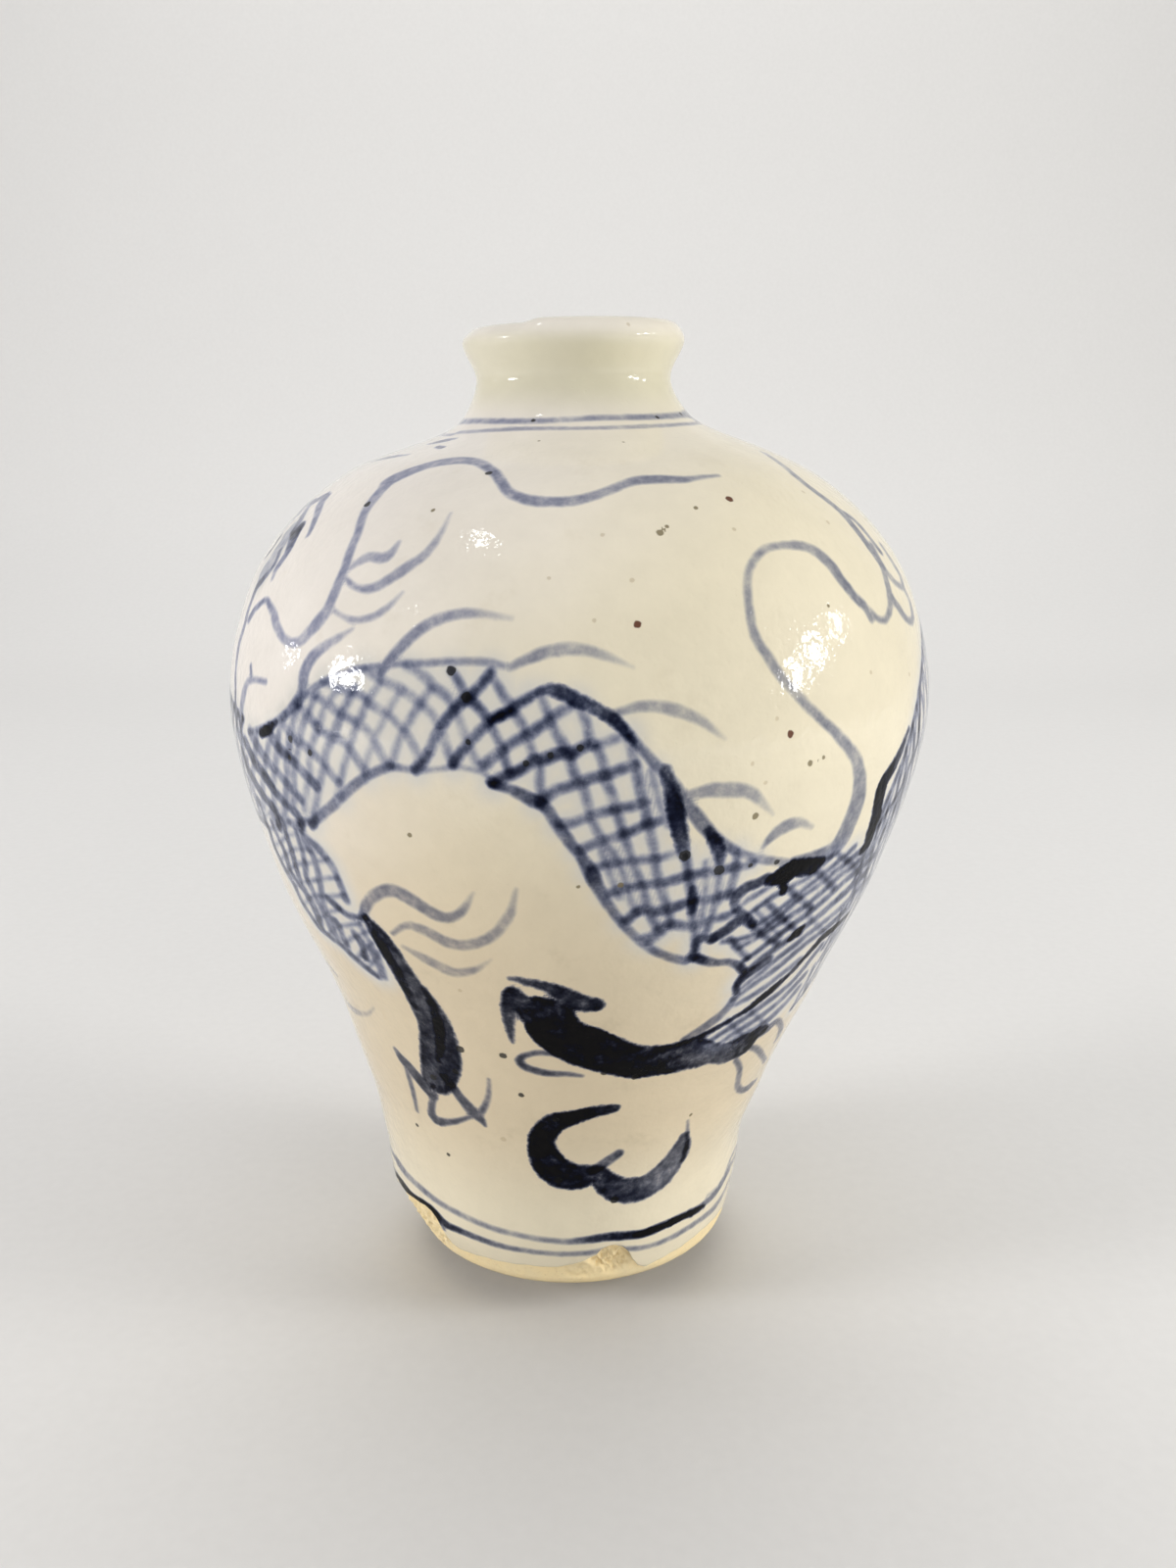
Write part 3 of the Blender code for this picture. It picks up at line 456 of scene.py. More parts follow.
# Net lines: a width, a density, then the path
NET_ACROSS = [
    (1.5, 2.3, (501, 686), (491, 699), (483, 707), (476, 713), (467.7, 720), (460, 729), (452, 738.5),
     (444.6, 752), (438.5, 766), (432, 777), (424.6, 784.6)),
    (1.5, 1.22, (452, 738.5), (444.6, 752), (438.5, 766), (432, 777), (424.6, 784.6)),
    (1.35, 0.84, (440, 703), (430.8, 715.4), (424.6, 726), (417, 737), (410.8, 747.7), (406, 760), (403, 769),
     (400, 780)),
    (1.1, 0.57, (412, 703), (403, 715), (395.4, 727.7), (389, 740), (384.6, 749), (380, 761.5),
     (375.4, 773.8), (373.8, 784.6)),
    (1.3, 0.76, (387.7, 698.5), (375.4, 715.4), (370.8, 726), (366, 737), (361.5, 749), (357, 761.5),
     (353.8, 775.4), (350, 787.7), (347.7, 800), (346, 810.8)),
    (1.4, 0.91, (363, 701.5), (357, 713.8), (349, 727.7), (344.6, 740), (340, 752.3), (333.8, 766),
     (332.3, 778.5), (329.2, 790.8), (326, 803), (323.8, 815.4), (321.5, 827.7), (320, 838.5)),
    (1.2, 0.72, (344.6, 704.6), (335.4, 717), (330.8, 726), (326, 740), (321.5, 752.3), (317, 766),
     (316.5, 778), (317, 787.7), (313.8, 803), (312.3, 815.4), (311, 826)),
    (1.2, 0.86, (324.6, 707.7), (320, 715.4), (315.4, 727.7), (309.2, 741.5), (306, 753.8), (304.6, 766),
     (301.5, 780), (300, 793.8), (300.8, 807.7), (300, 818.5)),
    (1.2, 1.03, (307.7, 715.4), (301.5, 730.8), (298.5, 743), (296, 753.8), (295.4, 766), (293.8, 780),
     (293.8, 792.3), (293, 803), (292.3, 815.4), (290.8, 826), (290.8, 838.5)),
    (1.0, 0.95, (290.8, 730.8), (286, 741.5), (284.6, 753.8), (283.8, 766), (281.5, 780), (280, 793.8),
     (279, 806), (280, 817), (278.5, 827.7), (281.5, 840)),
    (.9, 0.86, (277, 744.6), (275.4, 755.4), (273.8, 766), (271.5, 778.5), (269, 790.8), (268.5, 801.5),
     (269, 812), (269, 823)),
    (.8, 0.86, (263, 747.7), (261.5, 760), (260, 773.8), (258.5, 787.7), (257.7, 800), (260, 810.8),
     (264.6, 818.5)),
    (1.5, 2.4, (543, 710), (535.4, 714.6), (527.7, 719), (523, 723.8), (513.8, 729), (504.6, 733), (497, 739),
     (489, 747), (481.5, 754.6), (475.4, 762), (469, 770), (463, 779)),
    (1.5, 1.9, (581.5, 720.8), (570.8, 727), (561.5, 734.6), (552.3, 740.8), (543, 747), (535.4, 751.5),
     (526, 756), (518.5, 760.8), (510.8, 767), (503, 773), (493.8, 780.8)),
    (1.3, 1.0, (633.8, 751.5), (623, 756), (613.8, 759), (606, 759)),
    (1.6, 2.8, (606, 760), (598.5, 760.8), (592.3, 763.8), (583, 770), (577, 768.5), (567.7, 770),
     (562.3, 771.5), (553.8, 776), (546, 774.6), (541.5, 779), (530.8, 785.4), (521.5, 790), (510.8, 794.6),
     (503, 798.5)),
    (1.6, 2.0, (649, 780.8), (637, 783.8), (626, 788.5), (617, 791.5), (606, 793), (595.4, 797.7),
     (586, 800.8), (575.4, 803.8), (564.6, 807), (557, 814.6), (550.8, 819)),
    (1.6, 1.7, (658.5, 817.7), (649, 822), (638.5, 823.8), (627.7, 825.4), (617, 828.5), (604.6, 831.5),
     (593.8, 836), (580, 840.8), (572.3, 840.8)),
    (1.5, 1.6, (672, 838), (666, 840.8), (658.5, 842.3), (647.7, 847), (635.4, 851.5), (626, 854.6),
     (613.8, 857.7), (603, 862.3), (592.3, 867)),
    (1.3, 1.2, (689, 871.5), (675.4, 874.6), (666, 876), (653.8, 877.7), (641.5, 879), (629, 880.8),
     (615.4, 883), (603, 887)),
    (1.5, 1.7, (733, 889), (722, 890), (715, 891.7), (705, 893), (696.7, 895), (681.7, 900), (670, 901.7),
     (660, 903), (648, 905), (636, 907), (624, 911)),
    (1.3, 1.6, (733, 889), (745, 886), (757, 884), (768, 881)),
    (1.3, 1.5, (748, 911), (737, 914), (727, 917), (716, 919), (706, 921)),
    (1.2, 1.5, (750, 931), (738, 936), (728, 938), (718, 942), (707, 946)),
    (1.6, 1.9, (705, 920), (690, 925), (680, 926.7), (670, 930), (660, 928), (650, 930), (641, 938)),
    (1.5, 1.7, (706.7, 946.7), (693, 944), (683, 944), (673, 947), (668, 954), (663, 960)),
    (1.5, 1.5, (658, 957), (667, 957), (675, 951)),
    (1.2, 1.7, (321, 836), (312, 838), (304, 841), (296, 838), (288, 835)),
    # tail
    (1.1, 2.1, (804, 907), (813, 914), (820, 920), (828, 927)),
    (1.1, 1.9, (832, 887), (840, 895), (847, 902), (853, 909)),
    (1.0, 1.9, (855, 871), (864, 878), (872, 885), (878, 892)),
    (1.1, 2.0, (783, 921), (790, 929), (798, 937), (807, 945), (817, 953)),
    (1.1, 2.1, (762, 938), (768, 946), (776, 953), (784, 958), (794, 963)),
    (1.1, 2.2, (745, 958), (751, 965), (757, 972), (763, 978)),
    (.9, 1.2, (771, 929), (778, 937), (788, 948), (797, 956)),
    (.8, 1.0, (822, 932), (832, 942), (841, 951)),
    (.8, 1.1, (742, 1041), (750, 1049), (757, 1056)),
    (.8, 1.1, (764, 1030), (772, 1037), (779, 1044)),
    # strip of the left leg
    (.6, 1.2, (283, 836), (291, 836), (300, 842), (308, 848)),
    (.6, 0.95, (270, 833), (278, 828), (285, 826)),
    (.6, 1.1, (275, 846), (283, 842), (290, 840)),
    (.6, 1.1, (280, 863), (287, 858), (293, 853), (303, 850)),
    (.6, 1.2, (286, 878), (292, 872), (299, 867), (309, 866), (318, 868)),
    (.6, 1.1, (293, 890), (300, 884), (310, 880), (322, 880), (335, 876)),
    (.6, 1.1, (303, 905), (311, 900), (322, 898), (335, 896), (345, 895)),
    (.6, 1.2, (311, 922), (318, 915), (330, 914), (342, 914), (352, 912)),
    (.6, 1.2, (322, 940), (328, 936), (337, 930), (348, 928)),
    (.6, 1.2, (336, 953), (344, 946), (355, 944), (368, 942)),
    (.6, 1.2, (350, 965), (358, 958), (366, 954), (376, 950)),
    (.6, 1.1, (364, 978), (372, 970), (380, 962)),
    (.6, 1.1, (376, 988), (384, 978), (388, 970)),
    # pale wash of the limb at the upper left
    (1.7, 0.6, (296, 541), (291, 551), (284, 561), (277, 572), (270, 583)),
]

NET_ALONG = [
    (1.2, 1.2, (256.2, 747.7), (261.5, 758.5), (269.2, 770.8), (277.7, 781.5), (286.2, 790.8), (292.3, 798.5),
     (299.2, 806.2), (307.7, 815.4)),
    (1.2, 1.98, (251.5, 758.5), (260, 777), (267.7, 787.7), (277, 801.5), (286.2, 813.8), (297, 824.6),
     (306, 833.8), (308, 844)),
    (1.0, 2.06, (246, 750.8), (250.8, 778.5), (260, 797), (269, 812), (278.5, 823), (284.6, 835.4),
     (285, 843)),
    (1.4, 1.63, (277, 750), (281.5, 757), (287.7, 766), (295.4, 772.3), (303, 780), (310.8, 789),
     (315.4, 793.8), (323, 801.5)),
    (1.3, 0.99, (290.8, 741.5), (300, 752.3), (309.2, 759.2), (317, 766), (324.6, 772.3), (332.3, 780),
     (338, 788), (345, 797)),
    (1.4, 0.91, (302, 716), (307.7, 721.5), (315.4, 730.8), (323, 740), (332, 747.7), (341.5, 752.3),
     (350.8, 757), (357, 763), (363, 772), (369, 781), (374, 788)),
    (1.4, 0.87, (309, 708), (313.8, 709), (326, 712), (335, 718.5), (344.6, 726), (353.8, 730.8), (363, 737),
     (370.8, 741.5), (378.5, 749), (384.6, 760), (390.8, 772), (398.5, 780)),
    (1.3, 0.84, (330, 697), (345, 701), (357, 706), (367.7, 709), (377, 717), (387.7, 724.6), (397, 729),
     (406, 738.5), (412, 744.6), (418.5, 754), (424.6, 766), (429, 778)),
    (1.4, 0.91, (372, 684), (386, 692), (395, 697), (403, 700), (412, 704.6), (421.5, 712), (430.8, 718.5),
     (440, 727.7), (447.7, 740), (453, 754), (458, 768), (462, 778)),
    (1.4, 0.84, (415, 680), (424.6, 684.6), (437, 694), (444.6, 703), (455, 709), (463, 720), (467.7, 732),
     (473.8, 747.7), (479, 762), (486, 776)),
    (1.3, 1.6, (461, 685), (468, 695), (472, 703), (476, 712), (487.7, 720.8), (495.4, 731.5), (500, 739),
     (506, 750), (512, 762), (515, 774.6), (520, 787)),
    (1.3, 1.3, (501.5, 690), (507.7, 699), (513.8, 710), (521.5, 720.8), (527.7, 731.5), (533.8, 742),
     (537, 751.5), (541.5, 762), (546, 773), (550.8, 783.8), (550.8, 796), (552.3, 811.5)),
    (1.4, 1.4, (552.3, 711.5), (557, 723.8), (561.5, 736), (567.7, 748.5), (573.8, 757.7), (580, 770),
     (583, 780.8), (586, 790), (592, 799), (596, 806), (599, 817), (602, 830), (607.7, 843.8), (613.8, 856),
     (623, 868.5), (631, 881)),
    (1.4, 1.4, (588, 717), (595.4, 730), (600, 742.3), (601.5, 753), (610.8, 765.4), (615.4, 777.7),
     (617, 790), (621.5, 803.8), (626, 816), (627.7, 825.4), (632.3, 837.7), (635.4, 850), (640, 863.8),
     (645, 878), (650, 892), (655, 905), (659, 918), (662, 928), (668, 942), (672, 950)),
    (1.5, 1.4, (640, 748), (644.6, 765), (647.7, 780.8), (650.8, 793), (653.8, 805), (657, 817.7),
     (660, 831.5), (661.5, 842), (664.6, 854.6), (667.7, 867), (668, 878), (671, 893), (676, 912), (682, 928),
     (684, 944)),
    (1.1, .9, (664.6, 787), (667.7, 800.8), (672, 816), (676, 828), (682, 842)),
    (1.2, 1.1, (631, 881), (636, 893), (640, 906), (644, 920), (650, 932)),
    (1.2, 1.0, (613, 858), (615, 870), (620, 884), (627, 903), (632, 915)),
    (1.5, 1.9, (700, 874), (703, 895), (705, 905), (707, 915), (707, 925), (706.7, 936.7), (707.5, 947),
     (710, 958), (709, 970), (708, 977)),
    (1.2, 1.1, (731, 868), (733, 880), (734, 889), (733, 900), (733, 913), (731, 922)),
    (1.3, 1.5, (751.7, 871.7), (752, 879), (751, 890), (747, 902), (744, 914)),
    (1.1, 1.3, (733, 905), (730, 920), (726, 935), (721, 950)),
    (.9, 1.1, (720, 880), (720, 900), (719, 918), (716, 936)),
    # tail
    (0.61, 1.7, (756, 925), (764, 918), (773, 913), (785, 905), (797, 898)),
    (0.68, 1.8, (763, 934), (778, 923), (793, 913), (810, 904), (827, 894), (838, 884), (849, 874)),
    (0.68, 1.8, (770, 946), (784, 937), (798, 927), (810, 917), (821, 908), (835, 897), (849, 885),
     (861, 875), (872, 865)),
    (0.76, 2.0, (738, 961), (757, 958), (776, 951), (792, 938), (807, 925), (822, 913), (838, 902),
     (851, 891), (863, 882), (883, 865)),
    (0.76, 1.9, (756, 967), (774, 956), (793, 944), (810, 933), (827, 921), (841, 909), (855, 896),
     (872, 883), (889, 869)),
    (0.76, 2.0, (759, 981), (776, 969), (793, 956), (813, 941), (832, 927), (848, 913), (863, 899),
     (879, 886), (893, 873)),
    (0.84, 2.1, (751, 1006), (757, 997), (765, 989), (781, 976), (798, 964), (818, 949), (838, 933),
     (855, 918), (872, 902), (885, 890)),
    (0.68, 1.7, (756, 1009), (774, 995), (793, 979), (810, 966), (827, 952), (844, 939), (861, 924),
     (875, 909), (887, 896)),
    (0.68, 1.8, (749, 1020), (770, 1004), (793, 988), (810, 974), (827, 960), (845, 946), (862, 931)),
    (0.68, 1.6, (752, 1025), (765, 1018), (780, 1008), (797, 995), (815, 981)),
    (0.68, 1.9, (722, 1064), (744, 1050), (765, 1036), (782, 1024), (798, 1012), (811, 1000), (823, 985),
     (838, 966)),
    (0.68, 1.7, (734, 1065), (754, 1052), (773, 1040), (789, 1028), (804, 1014), (821, 996)),
    (0.68, 1.6, (746, 1063), (763, 1054), (779, 1045), (791, 1035), (803, 1023), (815, 1009)),
    (0.84, 1.6, (858, 944), (852, 955), (845, 966), (838, 978)),
    # strip of the left leg
    (.7, 2.2, (265, 818), (270, 833), (275, 846.7), (280, 863), (286.7, 878), (293, 890), (298, 898),
     (303, 908), (310, 923), (316.7, 933), (325, 945), (336.7, 955), (350, 965), (360, 975), (371.7, 985),
     (385, 995)),
    (.65, 1.9, (278, 840), (285, 856.7), (291.7, 871.7), (295, 885), (301.7, 896.7), (310, 908), (316.7, 920),
     (323, 933), (328, 945)),
    (.7, 1.9, (290, 840), (293, 853), (298, 868), (301.7, 883), (306, 896), (313, 910), (320, 921.7),
     (326.7, 938)),
    (.8, 1.4, (303, 848), (308, 866.7), (311.7, 881.7), (313, 895), (318.5, 906.7), (325, 920), (331, 932),
     (338, 948)),
    (1.0, 1.2, (310, 855), (320, 873), (325, 890), (328, 906.7), (331.7, 925), (336.7, 940), (343, 955)),
    (1.1, 1.3, (308, 847), (313, 855), (323, 863), (331.7, 873), (340, 885), (346.7, 900), (353, 916.7)),
    (.8, 2.2, (335, 916.7), (345, 925), (355, 933), (368, 936.7)),
    (.9, 1.6, (330, 926.7), (336.7, 936.7), (345, 941.7), (350, 955), (353, 961.7)),
    (1.1, 2.0, (363, 953), (368, 960), (371.7, 970), (373, 976.7)),
    (.7, 1.2, (366.7, 940), (371.7, 951.7), (378, 962)),
    (1.3, 1.5, (379, 966), (385, 978), (390, 990), (391, 995)),
]

# Spots: (radius in millimetres, kind, pixel). Kinds: 0 rust, 1 olive, 2 faint, 3 black.
SPOTS = [
    (.75, 0, (744.5, 509)), (.65, 0, (650.5, 637)), (.7, 0, (807, 749)), (.7, 1, (673.5, 543.5)),
    (.4, 1, (680.5, 537)), (.45, 1, (710, 518)), (.45, 1, (442, 521)), (.35, 1, (845.5, 618)),
    (.3, 1, (550, 450)), (.3, 1, (636, 451)), (.45, 1, (418.5, 852)), (.55, 1, (827, 779)),
    (.4, 1, (841, 773)), (.65, 1, (771, 833)), (.4, 1, (705, 1138)), (.35, 2, (615, 546)),
    (.4, 2, (645, 592)), (.35, 2, (606, 633)), (.5, 2, (845, 533)), (.4, 2, (749, 540)), (.45, 2, (820, 502)),
    (.4, 2, (768, 779)), (.4, 2, (781, 799)), (.4, 2, (793, 733)), (.4, 2, (889, 686)), (.4, 2, (928, 688)),
    (.6, 2, (514, 1162)), (.4, 2, (641, 331)), (.75, 3, (513.7, 1076.6)), (.6, 3, (532, 1117)),
    (.5, 3, (426, 1148)), (.85, 3, (460.6, 684.6)), (.9, 3, (476, 711.5)), (.7, 3, (297, 754)),
    (.65, 3, (317, 768)), (.5, 3, (296.5, 773)), (1.1, 3, (699, 873)), (1.05, 3, (734, 888)),
    (.95, 3, (470, 1070)), (.75, 3, (465, 1093)), (.6, 3, (562, 771)), (.65, 3, (592, 763)),
    (.55, 1, (633, 903)), (.5, 3, (478, 757)), (.5, 3, (766, 883)), (.75, 3, (375, 515)),
    (.65, 3, (499, 483)), (.5, 3, (544, 429)), (.45, 3, (671, 425.6)), (.45, 3, (695, 422)),
    (.75, 3, (442.5, 1099)), (.6, 3, (616, 1095)), (.7, 3, (648, 1099)), (.6, 3, (793, 880)),
    (.9, 3, (570, 1204)), (.9, 3, (627, 1224)), (.7, 3, (567, 1142)), (.55, 3, (537, 779)),
    (.9, 3, (299, 545)), (.35, 2, (560, 590)), (.5, 3, (458, 1178)), (.4, 2, (470, 1010)),
    (.35, 2, (905, 470)), (.4, 1, (590, 905)), (.5, 3, (815, 951)),
]


def ribbon(spine, halves):
    """The two edges of a body laid along (azimuth, height) points, as jar points."""
    path = spread(through(spine, 16), 1.5)
    half = np.interp(np.linspace(0, 1, len(path)), np.linspace(0, 1, len(halves)), halves)
    middle = np.array([jar_point(a, z) for a, z in path])
    along = np.gradient(middle, axis=0)
    outward = middle - np.stack([axis_shift(middle[:, 2]), 0 * middle[:, 2], middle[:, 2]], axis=-1)
    side = np.cross(outward, along)
    side /= np.linalg.norm(side, axis=1)[:, None]
    return on_jar(middle + side * half[:, None]), on_jar(middle - side * half[:, None])


def net_between(upper, lower, pitch, lean, tone):
    """Crossing lines between a body's two edges, leaning both ways."""
    runs = run_lengths((upper + lower) / 2)
    strokes = []
    for way in (1, -1):
        start = -lean if way > 0 else 0.0
        for mark in np.arange(start, runs[-1] + lean, pitch):
            share = np.linspace(0.0, 1.0, 9)
            at = mark + way * lean * share + RNG.normal(0, pitch * 0.07)
            keep = (at >= 0) & (at <= runs[-1])
            if keep.sum() < 3:
                continue
            top = np.column_stack([np.interp(at[keep], runs, upper[:, k]) for k in range(3)])
            low = np.column_stack([np.interp(at[keep], runs, lower[:, k]) for k in range(3)])
            points = on_jar(top + (low - top) * share[keep][:, None])
            dark = tone * RNG.uniform(0.75, 1.5)
            strokes.append((way, ((0.9, 1.3, 1.1), (dark, dark * 0.8, dark * 1.3), points)))
    return strokes


def jar_points(path):
    """A smooth path on the jar from (azimuth, height) pairs."""
    return np.array([jar_point(a, z) for a, z in through(path, 8)])


def far_lines(rows):
    """Strokes on the far side, from (azimuth, height) paths."""
    return [laid(widths, tones, jar_points(path)) for widths, tones, path in rows]


# Far side: the body goes on from the right edge, over the back, to a tail that ends in flames.
TAIL_UPPER = [
    (53, 101), (57, 114), (63, 128), (74, 139), (88, 145), (103, 146), (121, 143), (141, 130), (155, 112),
    (167, 95), (177, 85.5), (188, 83), (199, 87), (209, 98),
]
TAIL_LOWER = [
    (56, 62), (67, 69), (77, 82), (85, 98), (93, 111), (103, 120), (117, 119), (130, 109), (142, 95),
    (156, 81), (175, 72.5), (192, 73), (205, 82.5), (211, 96),
]
NECK_SPINE = [(-55, 113), (-68, 114), (-82, 119), (-95, 128), (-106, 139), (-116, 148)]
NECK_HALVES = [11, 11.5, 11, 10, 9, 8]
NECK_START = 4
NET_PITCH, NET_LEAN, NET_TONE = 4.6, 13.0, 1.5

FAR_LINES = [
    # tail flames
    ((1.2, 2.4, 1.6, .5), (1.4, 1.3, 1.0, .5), [(210, 96), (214, 106), (222, 114), (232, 117)]),
    ((1.2, 2.4, 1.8, .5), (1.4, 1.2, 1.0, .5), [(209, 98), (209, 110), (214, 121), (223, 129)]),
    ((1.2, 2.2, 1.6, .5), (1.4, 1.2, 1.0, .5), [(208, 97), (203, 108), (204, 120), (209, 131)]),
    ((1.0, 2.0, .5), (1.3, 1.1, .5), [(211, 95), (219, 98), (229, 97), (237, 102)]),
    # back flames along the body
    ((1.4, 2.2, 1.8, .5), (1.2, 1.0, .8, .4), [(88, 139), (94, 147), (102, 151), (113, 151)]),
    ((1.4, 2.2, 1.8, .5), (1.2, 1.0, .8, .4), [(108, 146), (116, 152), (125, 153), (135, 149)]),
    ((1.4, 2.0, 1.6, .5), (1.2, 1.0, .8, .4), [(134, 131), (142, 134), (151, 132), (158, 125)]),
    ((1.2, 1.8, 1.4, .5), (1.2, 1.0, .8, .4), [(155, 105), (163, 107), (171, 104), (177, 98)]),
    ((1.0, 1.6, .5), (1.1, .9, .4), [(178, 87), (185, 91), (193, 91), (200, 96)]),
    # hind leg
    ((1.4, 1.3, 1.2), (1.4, 1.2, 1.2), [(107, 121), (103, 110), (96, 101), (93, 92)]),
    ((1.4, 1.3, 1.2), (1.4, 1.2, 1.2), [(127, 118), (121, 107), (111, 99), (104, 91)]),
    ((1.2, 1.7, .6), (1.8, 1.8, 1.2), [(96, 66), (90, 61), (86, 53)]),
    ((1.2, 1.7, .6), (1.8, 1.8, 1.2), [(99, 64), (97, 56), (98, 48)]),
    ((1.2, 1.7, .6), (1.8, 1.8, 1.2), [(103, 65), (107, 59), (112, 52)]),
    ((1.2, 1.6, .6), (1.8, 1.6, 1.2), [(104, 70), (113, 69), (119, 63)]),
    ((1.8, 2.2, 1.8, .5), (1.3, 1.1, .9, .4), [(106, 88), (114, 92), (124, 90), (132, 96)]),
    ((1.4, 2.0, 1.4, .5), (1.2, 1.0, .8, .4), [(107, 82), (116, 83), (126, 79), (135, 85)]),
    # head: brow, snout, jaw, ear, horns
    ((1.8, 2.0, 1.6, 1.2), (2.6, 2.2, 2.0, 1.6), [(-114, 158), (-121, 162), (-129, 161), (-136, 156)]),
    ((1.4, 1.8, 1.8, 1.4), (2.0, 2.0, 2.4, 2.0), [(-136, 156), (-143, 158), (-150, 154), (-152, 148),
     (-147, 145)]),
    ((1.4, 1.6, 1.2), (2.2, 1.8, 1.6), [(-147, 145), (-139, 147), (-131, 144), (-124, 141)]),
    ((1.4, 1.8, 1.6, 1.2), (2.0, 2.0, 1.8, 1.6), [(-124, 141), (-132, 138), (-141, 137), (-147, 133),
     (-142, 130), (-133, 131)]),
    ((1.4, 1.8, 1.4), (1.8, 1.8, 1.5), [(-133, 131), (-123, 133), (-114, 138)]),
    ((1.2, 1.8, 1.0), (1.8, 1.6, 1.2), [(-114, 158), (-108, 161), (-103, 159), (-108, 154)]),
    ((1.0, 1.8, 1.4, .6), (2.0, 1.8, 1.5, 1.0), [(-122, 162), (-116, 168), (-107, 171), (-97, 171)]),
    ((1.0, 1.4, .6), (1.8, 1.5, 1.0), [(-115, 168.5), (-110, 173), (-102, 174)]),
    ((1.0, 1.8, 1.4, .6), (2.0, 1.8, 1.5, 1.0), [(-127, 162), (-124, 169), (-117, 173), (-108, 175)]),
    # tongue, teeth and nostril
    ((.8, 1.2, .4), (1.4, 1.3, .8), [(-136, 141), (-145, 142), (-153, 139)]),
    ((.7, .4), (2.0, 1.4), [(-146, 145), (-145.5, 141.5)]),
    ((.7, .4), (2.0, 1.4), [(-140, 146.5), (-139.5, 143)]),
    ((.7, .4), (2.0, 1.4), [(-142, 137), (-142.5, 140)]),
    ((.8, .8), (2.4, 2.0), [(-148, 153), (-146, 151)]),
    # eye
    ((.7, .8, .7), (2.6, 2.6, 2.6), [(-128, 156), (-130, 158), (-133, 156), (-130.5, 153.8), (-128, 156)]),
    # mane
    ((1.6, 2.2, 1.6, .4), (1.4, 1.3, 1.1, .5), [(-110, 155), (-101, 158), (-92, 155), (-84, 158)]),
    ((1.6, 2.2, 1.6, .4), (1.4, 1.3, 1.1, .5), [(-109, 151), (-99, 152), (-90, 147), (-82, 149)]),
    ((1.6, 2.2, 1.6, .4), (1.4, 1.3, 1.1, .5), [(-110, 160), (-101, 164), (-92, 163), (-85, 167)]),
    ((1.4, 1.8, .4), (1.3, 1.2, .5), [(-116, 137), (-113, 129), (-115, 121)]),
    ((1.4, 1.8, .4), (1.3, 1.2, .5), [(-124, 132), (-123, 124), (-127, 117)]),
    # whiskers
    ((1.2, 1.4, 1.3, 1.2, .5), (1.5, 1.2, 1.1, 1.1, .7), [(-150, 152), (-160, 157), (-169, 152), (-174, 142),
     (-183, 138), (-190, 143)]),
    ((1.1, 1.3, 1.2, .5), (1.4, 1.1, 1.0, .7), [(-147, 146), (-157, 143), (-163, 134), (-160, 124),
     (-166, 116)]),
    # raised fore leg behind the left edge
    ((1.3, 1.2, 1.2), (1.4, 1.2, 1.2), [(-92, 119), (-97, 108), (-108, 101), (-118, 103)]),
    ((1.3, 1.2, 1.2), (1.4, 1.2, 1.2), [(-80, 108), (-88, 97), (-103, 90), (-118, 95)]),
    ((1.2, 1.7, .6), (1.8, 1.8, 1.2), [(-139, 108), (-145, 114), (-153, 115)]),
    ((1.2, 1.7, .6), (1.8, 1.8, 1.2), [(-140, 104), (-148, 106), (-156, 102)]),
    ((1.2, 1.7, .6), (1.8, 1.8, 1.2), [(-139, 101), (-145, 98), (-150, 91)]),
    ((1.2, 1.6, .6), (1.8, 1.6, 1.2), [(-135, 99), (-136, 92), (-132, 86)]),
    # pearl and its flames
    ((1.4, 1.5, 1.4), (1.7, 1.6, 1.7), [(166, 152), (170, 157.5), (177, 157.5), (181, 152), (177, 146.5),
     (170, 146.5), (166, 152)]),
    ((1.0, 1.1, 1.0), (1.1, 1.1, 1.1), [(170, 152), (173, 155), (177, 152.5), (174, 149.5)]),
    ((1.2, 1.9, .5), (1.3, 1.2, .6), [(168, 158), (162, 163), (160, 170)]),
    ((1.2, 1.9, .5), (1.3, 1.2, .6), [(175, 159), (173, 165), (176, 172)]),
    ((1.2, 1.9, .5), (1.3, 1.2, .6), [(181, 156), (187, 160), (190, 167)]),
    ((1.2, 1.7, .5), (1.3, 1.1, .6), [(165, 149), (157, 150), (151, 156)]),
]

FAR_BRUSH = [
    ((2.6, 4.6, 5.4, 5.0, 4.0), (3.6, 4.4, 4.8, 4.4, 4.6), [(99, 92), (100, 84), (98, 76), (98, 70),
     (101, 64)]),
    ((2.6, 4.4, 5.0, 4.6, 3.6), (3.6, 4.4, 4.8, 4.4, 4.6), [(-117, 99), (-125, 102), (-132, 105), (-137, 104),
     (-141, 101)]),
    ((1.4, 1.6), (5.0, 5.0), [(-130, 156.2), (-131, 155.6)]),
    # cloud at the back
    ((2.0, 3.6, 5.0, 5.2, 4.0, 1.6), (5.4, 5.8, 5.4, 4.6, 3.8, 3.2), [(176, 56), (169, 56), (163, 51),
     (164, 43), (172, 39), (180, 41)]),
    ((2.2, 4.2, 5.0, 4.2, 1.6), (4.6, 4.6, 4.0, 3.6, 3.2), [(181, 44), (186, 38), (195, 37), (202, 43),
     (206, 52)]),
    # cloud at the left, low
    ((2.0, 3.4, 4.6, 4.8, 3.6, 1.4), (5.0, 5.4, 5.0, 4.2, 3.6, 3.0), [(-112, 60), (-119, 60), (-125, 55),
     (-124, 47), (-116, 43), (-107, 45)]),
    ((2.0, 3.8, 4.6, 3.8, 1.4), (4.4, 4.4, 3.8, 3.4, 3.0), [(-106, 48), (-101, 42), (-91, 41), (-84, 46),
     (-80, 55)]),
]

